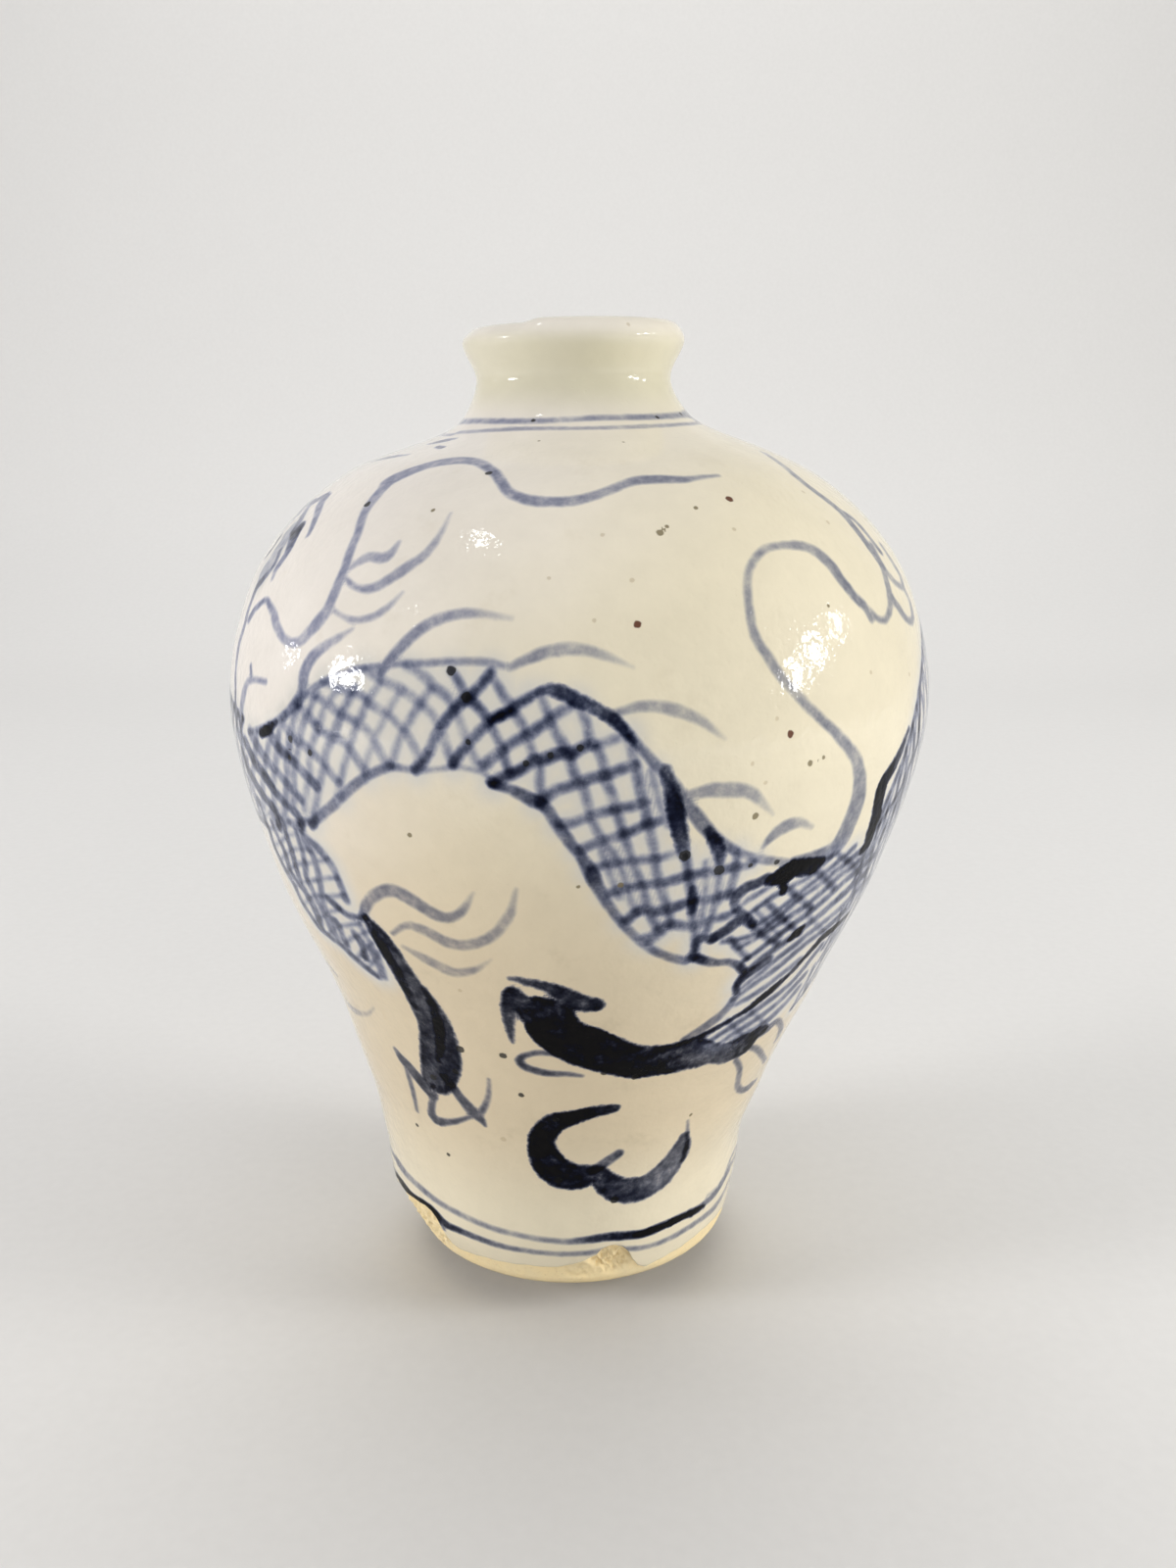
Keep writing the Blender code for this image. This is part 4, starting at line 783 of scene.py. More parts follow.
# The glaze's lower edge: (azimuth, height) pairs, with the chips in the foot
GLAZE_EDGE = [
    (-84, 4.4), (-77, 8.5), (-69, 13.6), (-65, 13.4), (-60.8, 13.0), (-55.8, 13.6), (-51.8, 14.2),
    (-47.9, 14.3), (-44.6, 13.8), (-42.4, 12.4), (-41.4, 10.6), (-40.6, 8.2), (-39.8, 6.2), (-37.0, 5.6),
    (-30.2, 5.7), (-21.2, 6.1), (-13.1, 6.2), (-5.1, 6.4), (2.6, 7.1), (7.2, 8.4), (10.6, 9.7), (12.3, 11.3),
    (14.2, 11.8), (16.6, 11.7), (19.2, 10.9), (21.0, 9.2), (22.2, 6.6), (24.0, 4.3), (26.8, 3.4), (35.4, 4.2),
    (46.2, 5.4), (57.2, 5.9), (72.1, 5.4), (84, 4.4),
]


def on_screen(points):
    """Pixels of the photograph at which points show."""
    away = np.asarray(points) - np.array(CAMERA_AT)
    depth = away @ np.array(FORWARD)
    return np.stack([away[:, 0] / depth, -(away @ np.array(UPWARD)) / depth], axis=-1) * FOCAL


# Pixels to a millimetre on the belly's front, and how far a stroke's look may depart from it
USUAL_SCALE = 4.85
NARROWEST, WIDEST = 0.38, 1.15
EDGE_MARKS = 48


def foreshortening(points):
    """How wide a stroke looks across its path, against one seen square on at the usual scale."""
    normals = np.array([JAR.find_nearest(Vector(p))[1] for p in points])
    along = np.gradient(points, axis=0)
    along /= np.maximum(np.linalg.norm(along, axis=1), 1e-9)[:, None]
    across = np.cross(normals, along)
    wide = on_screen(points + across * 0.5) - on_screen(points - across * 0.5)
    line = on_screen(points + along * 0.5) - on_screen(points - along * 0.5)
    line /= np.maximum(np.linalg.norm(line, axis=1), 1e-9)[:, None]
    seen = np.abs(wide[:, 0] * line[:, 1] - wide[:, 1] * line[:, 0]) / USUAL_SCALE
    kernel = np.ones(5) / 5
    return np.clip(np.convolve(np.pad(seen, 2, mode="edge"), kernel, mode="valid"), NARROWEST, WIDEST)


def shares(values, count):
    return np.interp(np.linspace(0, 1, count), np.linspace(0, 1, len(values)), values)


def as_paths(rows):
    """Strokes on the photographed side, thrown onto the jar, as (half widths, densities, points)."""
    done = []
    for widths, tones, path in rows:
        points = np.array([thrown(p) for p in spread(through(path, 10), 3.0)])
        halves = 0.5 * shares(widths, len(points)) / foreshortening(points)
        done.append((halves, shares(tones, len(points)), points))
    return done


def as_shapes(rows):
    """Marks filled between two edges on the photographed side."""
    done = []
    for tones, one, other in rows:
        edges = []
        for edge in (one, other):
            path = through(edge, 10)
            runs = run_lengths(path) / run_lengths(path)[-1]
            marks = np.linspace(0, 1, EDGE_MARKS)
            pixels = np.column_stack([np.interp(marks, runs, path[:, k]) for k in range(2)])
            edges.append(np.array([thrown(p) for p in pixels]))
        halves = 0.5 * np.linalg.norm(edges[0] - edges[1], axis=1)
        done.append((halves, shares(tones, EDGE_MARKS), on_jar((edges[0] + edges[1]) / 2)))
    return done


def laid(widths, tones, points):
    """A stroke of real widths along jar points."""
    return 0.5 * shares(widths, len(points)), shares(tones, len(points)), points


def as_net(rows):
    """Net lines, each with a little unevenness in its width and density."""
    uneven = []
    for width, tone, *path in rows:
        widths = (width * 0.95, width * 1.2, width * 1.0, width * 1.15)
        uneven.append((widths, (tone * .9, tone * 1.2, tone * .85, tone * 1.15), path))
    return as_paths(uneven)


RING_STEP = 2.0


def ring_paths():
    """Rings right round the jar: the seen part, and a wavering far part that joins its ends."""
    strokes = []
    for front in as_paths(RINGS):
        halves, tones, points = front
        strokes.append(front)
        start, end = azimuth_of(points[-1]), azimuth_of(points[0]) + 360.0
        turns = np.arange(start, end, RING_STEP)
        share = (turns - start) / (end - start)
        waver = (0.3 * np.sin(np.radians(turns * 3.0)) + 0.15 * np.sin(np.radians(turns * 7.0)))
        waver = waver * np.sin(math.pi * share)
        heights = points[-1, 2] + (points[0, 2] - points[-1, 2]) * smooth(share, 0, 1) + waver
        around = np.array([jar_point(a, h) for a, h in zip(turns, heights)])
        usual = np.median(tones)
        far_tones = np.interp(share, [0, .1, .9, 1], [tones[-1], usual, usual, tones[0]])
        far_tones *= np.interp(share, np.linspace(0, 1, 14), RNG.uniform(0.7, 1.4, 14))
        far_halves = np.median(halves) * np.interp(share, np.linspace(0, 1, 12), RNG.uniform(0.8, 1.25, 12))
        strokes.append((far_halves, far_tones, around))
    return strokes


def far_net():
    """The net and the edges of the body on the far side."""
    ahead, behind, edges = [], [], []
    tail = [jar_points(edge) for edge in (TAIL_UPPER, TAIL_LOWER)]
    neck = [edge[NECK_START:] for edge in ribbon(NECK_SPINE, NECK_HALVES)]
    for upper, lower in (tail, neck):
        for way, stroke in net_between(upper, lower, NET_PITCH, NET_LEAN, NET_TONE):
            (ahead if way > 0 else behind).append(laid(*stroke))
        edges.append(laid((1.6, 1.8, 1.6, 1.4), (1.6, 1.5, 1.7, 1.5), upper))
        edges.append(laid((1.4, 1.6, 1.5, 1.3), (1.5, 1.4, 1.5, 1.4), lower))
    return ahead, behind, edges


AHEAD, BEHIND, EDGES = far_net()
LAYERS = {
    "line": as_paths(FRONT_LINES) + far_lines(FAR_LINES) + EDGES + ring_paths(),
    "brush": as_shapes(FRONT_SHAPES) + as_paths(FRONT_BRUSH) + far_lines(FAR_BRUSH),
    "across": as_net(NET_ACROSS) + AHEAD,
    "along": as_net(NET_ALONG) + BEHIND,
}
# Strokes are measured in short segments. Past REACH from every stroke the glaze has no pigment,
# and its offset is set to FAR. The pale wash of a net reaches further.
SEGMENT = 0.9
SEGMENTS_AT_ONCE = 12
REACH = 1.1
FAR = 6.0
WASH_REACH = 2.6
WASH_LIMIT = 2.2 * WASH_REACH


def near_box(points, order, heights, piece, reach):
    """Numbers of the points in the box round a piece of a stroke."""
    low, high = piece.min(axis=0) - reach, piece.max(axis=0) + reach
    picks = order[np.searchsorted(heights, low[2]):np.searchsorted(heights, high[2])]
    spots, low, high = points[picks, :2], low[:2], high[:2]
    return picks[np.all((spots > low) & (spots < high), axis=1)]


def paint_fields(points, normals, strokes):
    """Offset from the deepest stroke's middle, its half width, density and depth, and the wash."""
    order = np.argsort(points[:, 2], kind="stable")
    heights = points[order, 2]
    depth = np.full(len(points), WASH_LIMIT)
    off, half, tone = normals * FAR, np.full(len(points), 0.1), np.zeros(len(points))
    for halves, tones, path in strokes:
        fine = spread(np.column_stack([path, halves, tones]), SEGMENT)
        for start in range(0, len(fine) - 1, SEGMENTS_AT_ONCE):
            piece = fine[start:start + SEGMENTS_AT_ONCE + 1]
            near = near_box(points, order, heights, piece[:, :3], WASH_LIMIT + piece[:, 3].max())
            if not len(near):
                continue
            ends, line = piece[:-1], np.diff(piece, axis=0)
            away = points[near][:, None, :] - ends[None, :, :3]
            share = np.sum(away * line[:, :3], axis=2) / np.maximum(np.sum(line[:, :3] ** 2, axis=1), 1e-9)
            share = np.clip(share, 0.0, 1.0)[..., None]
            away = away - share * line[:, :3]
            sizes = ends[:, 3:] + share * line[:, 3:]
            gap = np.linalg.norm(away, axis=2) - sizes[..., 0]
            pick = np.argmin(gap, axis=1)
            rows = np.arange(len(near))
            better = gap[rows, pick] < depth[near]
            rows, pick, spots = rows[better], pick[better], near[better]
            depth[spots] = gap[rows, pick]
            flat = away[rows, pick]
            off[spots] = flat - normals[spots] * np.sum(flat * normals[spots], axis=1)[:, None]
            half[spots], tone[spots] = sizes[rows, pick].T
    wash = np.exp(-((np.maximum(depth, 0.0) / WASH_REACH) ** 2))
    outside = depth > REACH
    off[outside] = normals[outside] * FAR
    half[outside], tone[outside] = 0.1, 0.0
    return off, np.stack([half, tone, np.minimum(depth, REACH)], axis=-1), wash


FAR_SPOTS = 60
FAR_AZIMUTHS, FAR_HEIGHTS, FAR_SIZES = (85, 275), (20, 172), (0.25, 0.6)
FAR_KINDS = [0, 1, 2, 2, 2, 3]


def spot_fields(points, normals):
    """Offset from the nearest spot, with its radius and kind."""
    places = [thrown(p) for _, _, p in SPOTS]
    sizes = [s for s, _, _ in SPOTS]
    kinds = [k for _, k, _ in SPOTS]
    for _ in range(FAR_SPOTS):
        places.append(jar_point(RNG.uniform(*FAR_AZIMUTHS), RNG.uniform(*FAR_HEIGHTS)))
        sizes.append(RNG.uniform(*FAR_SIZES))
        kinds.append(int(RNG.choice(FAR_KINDS)))
    tree = kdtree.KDTree(len(places))
    for i, p in enumerate(places):
        tree.insert(p, i)
    tree.balance()
    near = np.array([tree.find(p)[1] for p in points])
    off = points - np.array(places)[near]
    off = off - normals * np.sum(off * normals, axis=1)[:, None]
    size, kind = np.array(sizes)[near], np.array(kinds, float)[near]
    away = np.linalg.norm(off, axis=1) > size + REACH
    off[away] = normals[away] * FAR
    size[away] = 0.1
    return off, size, kind


def edge_heights(azimuths):
    """Height of the glaze's lower edge at azimuths in degrees."""
    turns, heights = np.array(GLAZE_EDGE).T
    loose = 4.3 + 0.5 * np.sin(np.radians(azimuths * 2.0 + 20)) + 0.25 * np.sin(np.radians(azimuths * 7.0))
    wrapped = (azimuths + 180.0) % 360.0 - 180.0
    seen = np.interp(wrapped, turns, heights)
    seen = seen + 0.12 * np.sin(np.radians(wrapped * 23.0)) + 0.08 * np.sin(np.radians(wrapped * 51.0))
    fade = smooth(wrapped, turns[0] - 8, turns[0]) * (1 - smooth(wrapped, turns[-1], turns[-1] + 8))
    return loose * (1 - fade) + seen * fade


def columns():
    parts = [np.linspace(a, b, n, endpoint=False) for a, b, n in QUARTERS]
    return np.concatenate(parts)


def column_quarters():
    return np.concatenate([np.full(n, k) for k, (_, _, n) in enumerate(QUARTERS)])


def row_runs():
    """Fixed rows of the outside, as runs, with each band's first and last row."""
    start, end = run_at(FIXED_FROM), run_at(THROAT_END, True)
    cuts = [start] + [run_at(top) for _, _, top in BANDS if top] + [end]
    rows, bands = [np.array([start])], []
    count = 0
    for low, high in zip(cuts[:-1], cuts[1:]):
        n = int(math.ceil((high - low) / ROW_STEP))
        rows.append(np.linspace(low, high, n + 1)[1:])
        bands.append((count, count + n))
        count += n
    return np.concatenate(rows), bands


def outside_grid():
    """Rows x columns of the glaze's outer face, with its normals and band rows."""
    azimuths = columns()
    fixed, bands = row_runs()
    edge = np.interp(edge_heights(azimuths), CURVE[:CREST, 1], RUNS[:CREST])
    low_rows = int(math.ceil((fixed[0] - run_at(BARE_HEIGHT)) / ROW_STEP))
    share = np.linspace(0.0, 1.0, low_rows, endpoint=False)[:, None]
    low = edge[None, :] * (1 - share) + fixed[0] * share
    runs = np.vstack([low, np.repeat(fixed[:, None], len(azimuths), axis=1)])
    radius = np.interp(runs, RUNS, CURVE[:, 0])
    height = np.interp(runs, RUNS, CURVE[:, 1])
    angle = np.repeat(np.radians(azimuths)[None, :], len(runs), axis=0)
    radius, height = hand(radius, height, runs, angle)
    points = place(radius, height, angle)
    normals = grid_normals(points)
    up_from_edge = runs - edge[None, :]
    roll = np.clip(1.0 - up_from_edge / EDGE_ROLL, 0.0, 1.0)
    points = points - normals * (EDGE_DROP * (1.0 - np.sqrt(1.0 - roll ** 2)))[..., None]
    normals = grid_normals(points)
    bands = [(a + low_rows, b + low_rows) for a, b in bands]
    bands[0] = (0, bands[0][1])
    return points, normals, bands


def grid_normals(points):
    across = np.roll(points, -1, axis=1) - np.roll(points, 1, axis=1)
    up = np.gradient(points, axis=0)
    normals = np.cross(across, up)
    return normals / np.linalg.norm(normals, axis=2)[..., None]


def strip_faces(lower, upper, flip=False):
    """Quads between two closed rings of vertex numbers."""
    a, b = lower, np.roll(lower, -1)
    c, d = np.roll(upper, -1), upper
    quads = np.stack([a, b, c, d], axis=-1)
    return quads[:, ::-1] if flip else quads


def new_mesh(name, points, faces, uvs, sharp=40.0):
    """A shaded mesh from millimetre points, faces and one UV list in face order."""
    mesh = bpy.data.meshes.new(name)
    mesh.from_pydata((points * MM).tolist(), [], faces)
    mesh.update()
    layer = mesh.uv_layers.new(name="OFBake")
    layer.data.foreach_set("uv", np.asarray(uvs, float).ravel())
    mesh.shade_smooth()
    mesh.set_sharp_from_angle(angle=math.radians(sharp))
    piece = bpy.data.objects.new(name, mesh)
    bpy.context.collection.objects.link(piece)
    return piece


# The inner face of a skin is plainer than the outer one, and has a place of its own in each UV chart.
INNER_SLACK = 0.08
INNER_EVERY = 14
CHART = 0.5
CHART_MARGIN = 0.004
MAIN_SHARE = 0.90
INNER_SHARE = (0.92, 0.96)
RIM_SHARES = ((0.97, 0.98), (0.99, 1.00))


def chart_uv(quarter, across, up):
    """A place in the quarter's chart, with across and up from 0 to 1."""
    size = CHART - 2 * CHART_MARGIN
    u = (quarter % 2) * CHART + CHART_MARGIN + across * size
    v = (quarter // 2) * CHART + CHART_MARGIN + up * size
    return np.stack([u, v], axis=-1)


def ring_uvs(rows_up, quarters):
    """UVs for each quad of a grid of closed rings, in the corners' order."""
    counts = np.array([n for _, _, n in QUARTERS])
    starts = np.concatenate([[0], np.cumsum(counts)[:-1]])
    local = (np.arange(len(quarters)) - starts[quarters]) / counts[quarters]
    ahead = local + 1.0 / counts[quarters]
    uvs = []
    for low, high in zip(rows_up[:-1], rows_up[1:]):
        corners = [chart_uv(quarters, local, low), chart_uv(quarters, ahead, low),
                   chart_uv(quarters, ahead, high), chart_uv(quarters, local, high)]
        uvs.append(np.stack(corners, axis=1))
    return np.concatenate(uvs)


def plain_rows(outer):
    """Rows that a plainer face can keep and still stray less than INNER_SLACK from the outer one."""
    line = outer[:, 0]
    picks = [0]
    for row in range(2, len(line)):
        start = picks[-1]
        chord = line[row] - line[start]
        across = np.cross(line[start + 1:row] - line[start], chord)
        away = np.linalg.norm(across, axis=1) / np.linalg.norm(chord)
        if away.max() > INNER_SLACK or row - start > INNER_EVERY:
            picks.append(row - 1)
    return picks + [len(line) - 1]


def band_piece(name, outer, normals):
    """A closed skin from outer rows: the outer face, a plainer inner face and two rims."""
    rows, count = outer.shape[:2]
    picks = plain_rows(outer)
    inner = outer[picks] - normals[picks] * COAT
    vertices = np.vstack([outer.reshape(-1, 3), inner.reshape(-1, 3)])
    ids = np.arange(rows * count).reshape(rows, count)
    inside = rows * count + np.arange(len(picks) * count).reshape(len(picks), count)
    faces = [strip_faces(ids[i], ids[i + 1]) for i in range(rows - 1)]
    faces += [strip_faces(inside[i], inside[i + 1], True) for i in range(len(picks) - 1)]
    faces += [strip_faces(inside[0], ids[0]), strip_faces(ids[-1], inside[-1])]
    faces = np.concatenate(faces)
    quarters = column_quarters()
    uvs = [ring_uvs(np.linspace(0.0, MAIN_SHARE, rows), quarters)]
    uvs += [ring_uvs(np.linspace(*INNER_SHARE, len(picks)), quarters)[:, ::-1]]
    uvs += [ring_uvs(share, quarters) for share in RIM_SHARES]
    return new_mesh(name, vertices, faces.tolist(), np.concatenate(uvs)), len(picks)


def add_field(mesh, name, values, kind="FLOAT"):
    field = mesh.attributes.new(name, kind, "POINT")
    slot = "value" if kind == "FLOAT" else "vector"
    field.data.foreach_set(slot, np.asarray(values, np.float32).ravel())


def turned(name, profile, segments, carve=None):
    """A closed turned solid from a profile that starts and ends on the axis."""
    profile = np.array(profile, float)
    angles = np.arange(segments) * 2 * math.pi / segments
    middle = place(profile[1:-1, 0][:, None], profile[1:-1, 1][:, None], angles[None, :])
    if carve is not None:
        middle = carve(middle, angles)
    poles = place(profile[[0, -1], 0], profile[[0, -1], 1], np.zeros(2))
    rows = len(profile) - 2
    vertices = np.vstack([middle.reshape(-1, 3), poles])
    ids = np.arange(rows * segments).reshape(rows, segments)
    first, last = rows * segments, rows * segments + 1
    faces = []
    for i in range(rows - 1):
        faces += strip_faces(ids[i], ids[i + 1]).tolist()
    ring = np.roll(ids[0], -1)
    faces += [[first, int(b), int(a)] for a, b in zip(ids[0], ring)]
    ring = np.roll(ids[-1], -1)
    faces += [[last, int(a), int(b)] for a, b in zip(ids[-1], ring)]
    runs = run_lengths(profile)
    runs = 0.02 + 0.96 * runs / runs[-1]
    uvs = []
    for i in range(rows - 1):
        for k in range(segments):
            low, high = k / segments, (k + 1) / segments
            uvs += [(low, runs[i + 1]), (high, runs[i + 1]), (high, runs[i + 2]), (low, runs[i + 2])]
    for k in range(segments):
        uvs += [((k + .5) / segments, runs[0]), ((k + 1) / segments, runs[1]), (k / segments, runs[1])]
    for k in range(segments):
        uvs += [((k + .5) / segments, runs[-1]), (k / segments, runs[-2]), ((k + 1) / segments, runs[-2])]
    return new_mesh(name, vertices, faces, uvs, 50.0)


# Chips in the foot: (azimuth, height, spread in degrees, spread in height, depth)
CHIPS = [
    (-57, 7.0, 17, 8.0, 0.8), (-66, 10.0, 9, 4.5, 0.7), (-47, 8.0, 7, 6.5, 0.7), (15, 8.0, 8.5, 4.8, 1.2),
    (5, 5.2, 9, 2.6, 0.5), (150, 3.5, 6, 2.5, 0.6), (-130, 3.0, 5, 2.0, 0.5),
]


LUMP_WAVES = 14


def lumps(points, size, seed):
    """Smooth random lumps, mostly from -1 to 1, as a sum of turned waves."""
    rng = np.random.default_rng(seed)
    total = np.zeros(points.shape[:-1])
    for _ in range(LUMP_WAVES):
        wave = rng.normal(0, 1, 3)
        wave *= rng.uniform(0.6, 1.8) * 2 * math.pi / size / np.linalg.norm(wave)
        total += np.sin(points @ wave + rng.uniform(0, 2 * math.pi))
    return total / 5.0


FOOT_MIDDLE = -3.0
FOOT_OUTSIDE = (34.4, 35.6)


def carve_foot(points, angles):
    """Chips and a worn, slightly uneven surface on the foot's outside."""
    turn = (np.degrees(angles)[None, :] + 180.0) % 360.0 - 180.0
    radius = np.linalg.norm(points[..., :2] - np.array([FOOT_MIDDLE, 0.0]), axis=-1)
    outside = smooth(radius, *FOOT_OUTSIDE)
    height = points[..., 2]
    depth = np.zeros(height.shape)
    for azimuth, level, wide, tall, deep in CHIPS:
        gap = ((turn - azimuth) / wide) ** 2 + ((height - level) / tall) ** 2
        rough = 1.0 + 0.5 * lumps(points, 2.4, 3) + 0.3 * lumps(points, 1.0, 4)
        depth = np.maximum(depth, deep * (1 - smooth(np.sqrt(gap), 0.55, 1.05)) * rough)
    depth = depth * smooth(height, 0.6, 2.2) + 0.05 * (1 + lumps(points, 5.0, 5))
    inward = np.stack([FOOT_MIDDLE - points[..., 0], -points[..., 1], 0 * radius], axis=-1)
    inward = inward / radius[..., None]
    return points + inward * (depth * outside)[..., None]


# The recess under the foot and the resting edge: (radius, height)
RECESS = [
    (0, 3.5), (8, 3.5), (16, 3.45), (22, 3.4), (25.6, 3.4), (26.5, 3.25), (27.0, 2.8), (27.2, 2.2),
    (27.2, 1.1), (27.45, .45), (28.0, .08), (28.6, 0), (31, 0), (33.4, 0), (33.9, .1), (34.6, .5),
    (35.4, 1.2), (36.0, 1.9), (36.3, 2.4),
]
FOOT_FROM, FOOT_TO, FOOT_STEP = 2.8, 23.7, 0.35
FOOT_TOP = 23.9
FOOT_WALL = 7.3
TOP_BEVEL = 0.8
FLOOR_HEIGHT = 9.7
FLOOR_FILLET = 10


def foot_profile():
    """The bottom section in one closed profile, from the recess's middle to the floor's."""
    heights = np.arange(FOOT_FROM, FOOT_TO, FOOT_STEP)
    radii = np.interp([run_at(h) for h in heights], RUNS, CURVE[:, 0])
    outer = [(r - CLAY_DEPTH, z) for r, z in zip(radii, heights)]
    wall = outer[-1][0] - FOOT_WALL
    top = [(outer[-1][0] - TOP_BEVEL, FOOT_TOP), (wall, FOOT_TOP)]
    turns = np.linspace(0.05, math.pi / 2, 8)
    middle = (wall - FLOOR_FILLET, FLOOR_HEIGHT + FLOOR_FILLET)
    fillet = [(middle[0] + FLOOR_FILLET * math.cos(t), middle[1] - FLOOR_FILLET * math.sin(t)) for t in turns]
    return RECESS + outer + top + fillet + [(10, FLOOR_HEIGHT), (0, FLOOR_HEIGHT)]


def side_chain(node):
    """The outline of a turned CAD node on its +X side, in order, from axis to axis."""
    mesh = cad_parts[node].data
    keys, places, links = {}, [], {}

    def number(vertex):
        key = tuple(round(c, 6) for c in vertex.co)
        if key not in keys:
            keys[key] = len(places)
            places.append((key[0] / MM, key[2] / MM))
        return keys[key]

    for edge in mesh.edges:
        ends = [mesh.vertices[i] for i in edge.vertices]
        if any(abs(v.co.y) > 1e-6 for v in ends):
            continue
        if any(v.co.x / MM < axis_shift(v.co.z / MM) - 0.05 for v in ends):
            continue
        a, b = (number(v) for v in ends)
        if a != b:
            links.setdefault(a, set()).add(b)
            links.setdefault(b, set()).add(a)
    start = next(n for n in sorted(links) if len(links[n]) == 1)
    chain, before = [start], None
    while True:
        ahead = [n for n in links[chain[-1]] if n != before]
        if not ahead:
            break
        before = chain[-1]
        chain.append(ahead[0])
    return np.array([places[n] for n in chain])


def unleaned(points):
    """Turned (radius, height) pairs from points of the leaning jar's +X side."""
    height = points[:, 1].copy()
    for _ in range(6):
        radius = points[:, 0] - axis_shift(height)
        height = points[:, 1] - TILT * smooth(height, TILT_FROM, TILT_TO) * radius
    return np.column_stack([np.maximum(radius, 0.0), height])


class Tree:
    """Short ways of writing a node material."""

    def __init__(self, name):
        self.material = bpy.data.materials.new(name)
        self.material.use_nodes = True
        self.nodes = self.material.node_tree.nodes
        self.shader = self.nodes["Principled BSDF"]
        self.place = self.add("ShaderNodeTexCoord").outputs["Object"]

    def add(self, kind, **settings):
        node = self.nodes.new(kind)
        for name, value in settings.items():
            setattr(node, name, value)
        return node

    def join(self, value, socket):
        if isinstance(value, bpy.types.NodeSocket):
            self.material.node_tree.links.new(value, socket)
        else:
            socket.default_value = value

    def math(self, operation, a, b=0.0, c=0.0, clamp=False):
        node = self.add("ShaderNodeMath", operation=operation, use_clamp=clamp)
        for value, socket in zip((a, b, c), node.inputs):
            self.join(value, socket)
        return node.outputs[0]

    def times(self, a, b, clamp=False):
        return self.math("MULTIPLY", a, b, clamp=clamp)

    def scaled(self, value, factor, plus):
        return self.math("MULTIPLY_ADD", value, factor, plus)

    def centred(self, noise):
        return self.math("SUBTRACT", noise, 0.5)

    def length(self, vector):
        node = self.add("ShaderNodeVectorMath", operation="LENGTH")
        self.join(vector, node.inputs[0])
        return node.outputs["Value"]

    def axes(self):
        """The x, y and z of the place."""
        node = self.add("ShaderNodeSeparateXYZ")
        self.join(self.place, node.inputs[0])
        return node.outputs

    def noise(self, size, detail=2.0, roughness=0.5):
        """Noise from 0 to 1 with lumps of a size in millimetres."""
        node = self.add("ShaderNodeTexNoise")
        self.join(self.place, node.inputs["Vector"])
        node.inputs["Scale"].default_value = 1.0 / (size * MM)
        node.inputs["Detail"].default_value = detail
        node.inputs["Roughness"].default_value = roughness
        return node.outputs["Fac"]

    def step(self, value, low, high, to_low=0.0, to_high=1.0):
        node = self.add("ShaderNodeMapRange", interpolation_type="SMOOTHSTEP")
        for item, socket in zip((value, low, high, to_low, to_high), node.inputs):
            self.join(item, socket)
        return node.outputs[0]

    def blend(self, share, a, b, kind="MIX"):
        node = self.add("ShaderNodeMix", data_type="RGBA", blend_type=kind)
        self.join(share, node.inputs["Factor"])
        for value, socket in ((a, node.inputs[6]), (b, node.inputs[7])):
            self.join(value if isinstance(value, bpy.types.NodeSocket) else (*value, 1.0), socket)
        return node.outputs[2]

    def field(self, name):
        return self.add("ShaderNodeAttribute", attribute_name=name)

    def bump(self, heights):
        """Stacked bumps of the surface: (height socket, depth in millimetres, strength)."""
        normal = None
        for height, depth, strength in heights:
            node = self.add("ShaderNodeBump")
            node.inputs["Strength"].default_value = strength
            node.inputs["Distance"].default_value = depth * MM
            self.join(height, node.inputs["Height"])
            if normal is not None:
                self.join(normal, node.inputs["Normal"])
            normal = node.outputs[0]
        self.join(normal, self.shader.inputs["Normal"])


# Where the bare glaze changes its tone, with a painted sheen on the cool side and painted shade in the cream
# below: heights in metres, and for the cool side a mixed measure
COOL_SHEEN_SIDE = (1.05, 1.75)
CREAM_SHADE_BELOW = (0.078, 0.150)
CREAM_SHADE_FADES = (0.016, 0.046)
POOL_BEGINS, POOL_THINS = (0.178, 0.187), (0.1935, 0.1975)
CALM_ABOVE = (0.166, 0.178)
WARM_WHITE = (0.765, 0.700, 0.535)
# cool white: partly a cooler glaze and partly the painted lavender sheen of a lamp's reflection
COOL_WHITE_AND_SHEEN = (0.800, 0.760, 0.722)
STAIN = (0.520, 0.440, 0.300)
# cream: partly a warmer glaze and partly painted shade under the belly
CREAM_AND_SHADE = (0.635, 0.525, 0.360)
NET_WHITE = (0.650, 0.632, 0.575)
GREEN_GLAZE = (0.600, 0.570, 0.400)
THIN_COBALT = (0.98, 0.885, 0.54)
COBALT = (1.0, 0.915, 0.67)
BURNT = (0.004, 0.004, 0.0045)
BURNT_FROM, BURNT_TO = 5.0, 7.6
GLAZE_IOR = 1.5
SPOT_STRENGTHS = (0.95, 0.85, 0.45, 0.92)
SPOT_COLOURS = [(0.10, 0.022, 0.006), (0.16, 0.125, 0.055), (0.42, 0.33, 0.20), (0.006, 0.006, 0.006)]


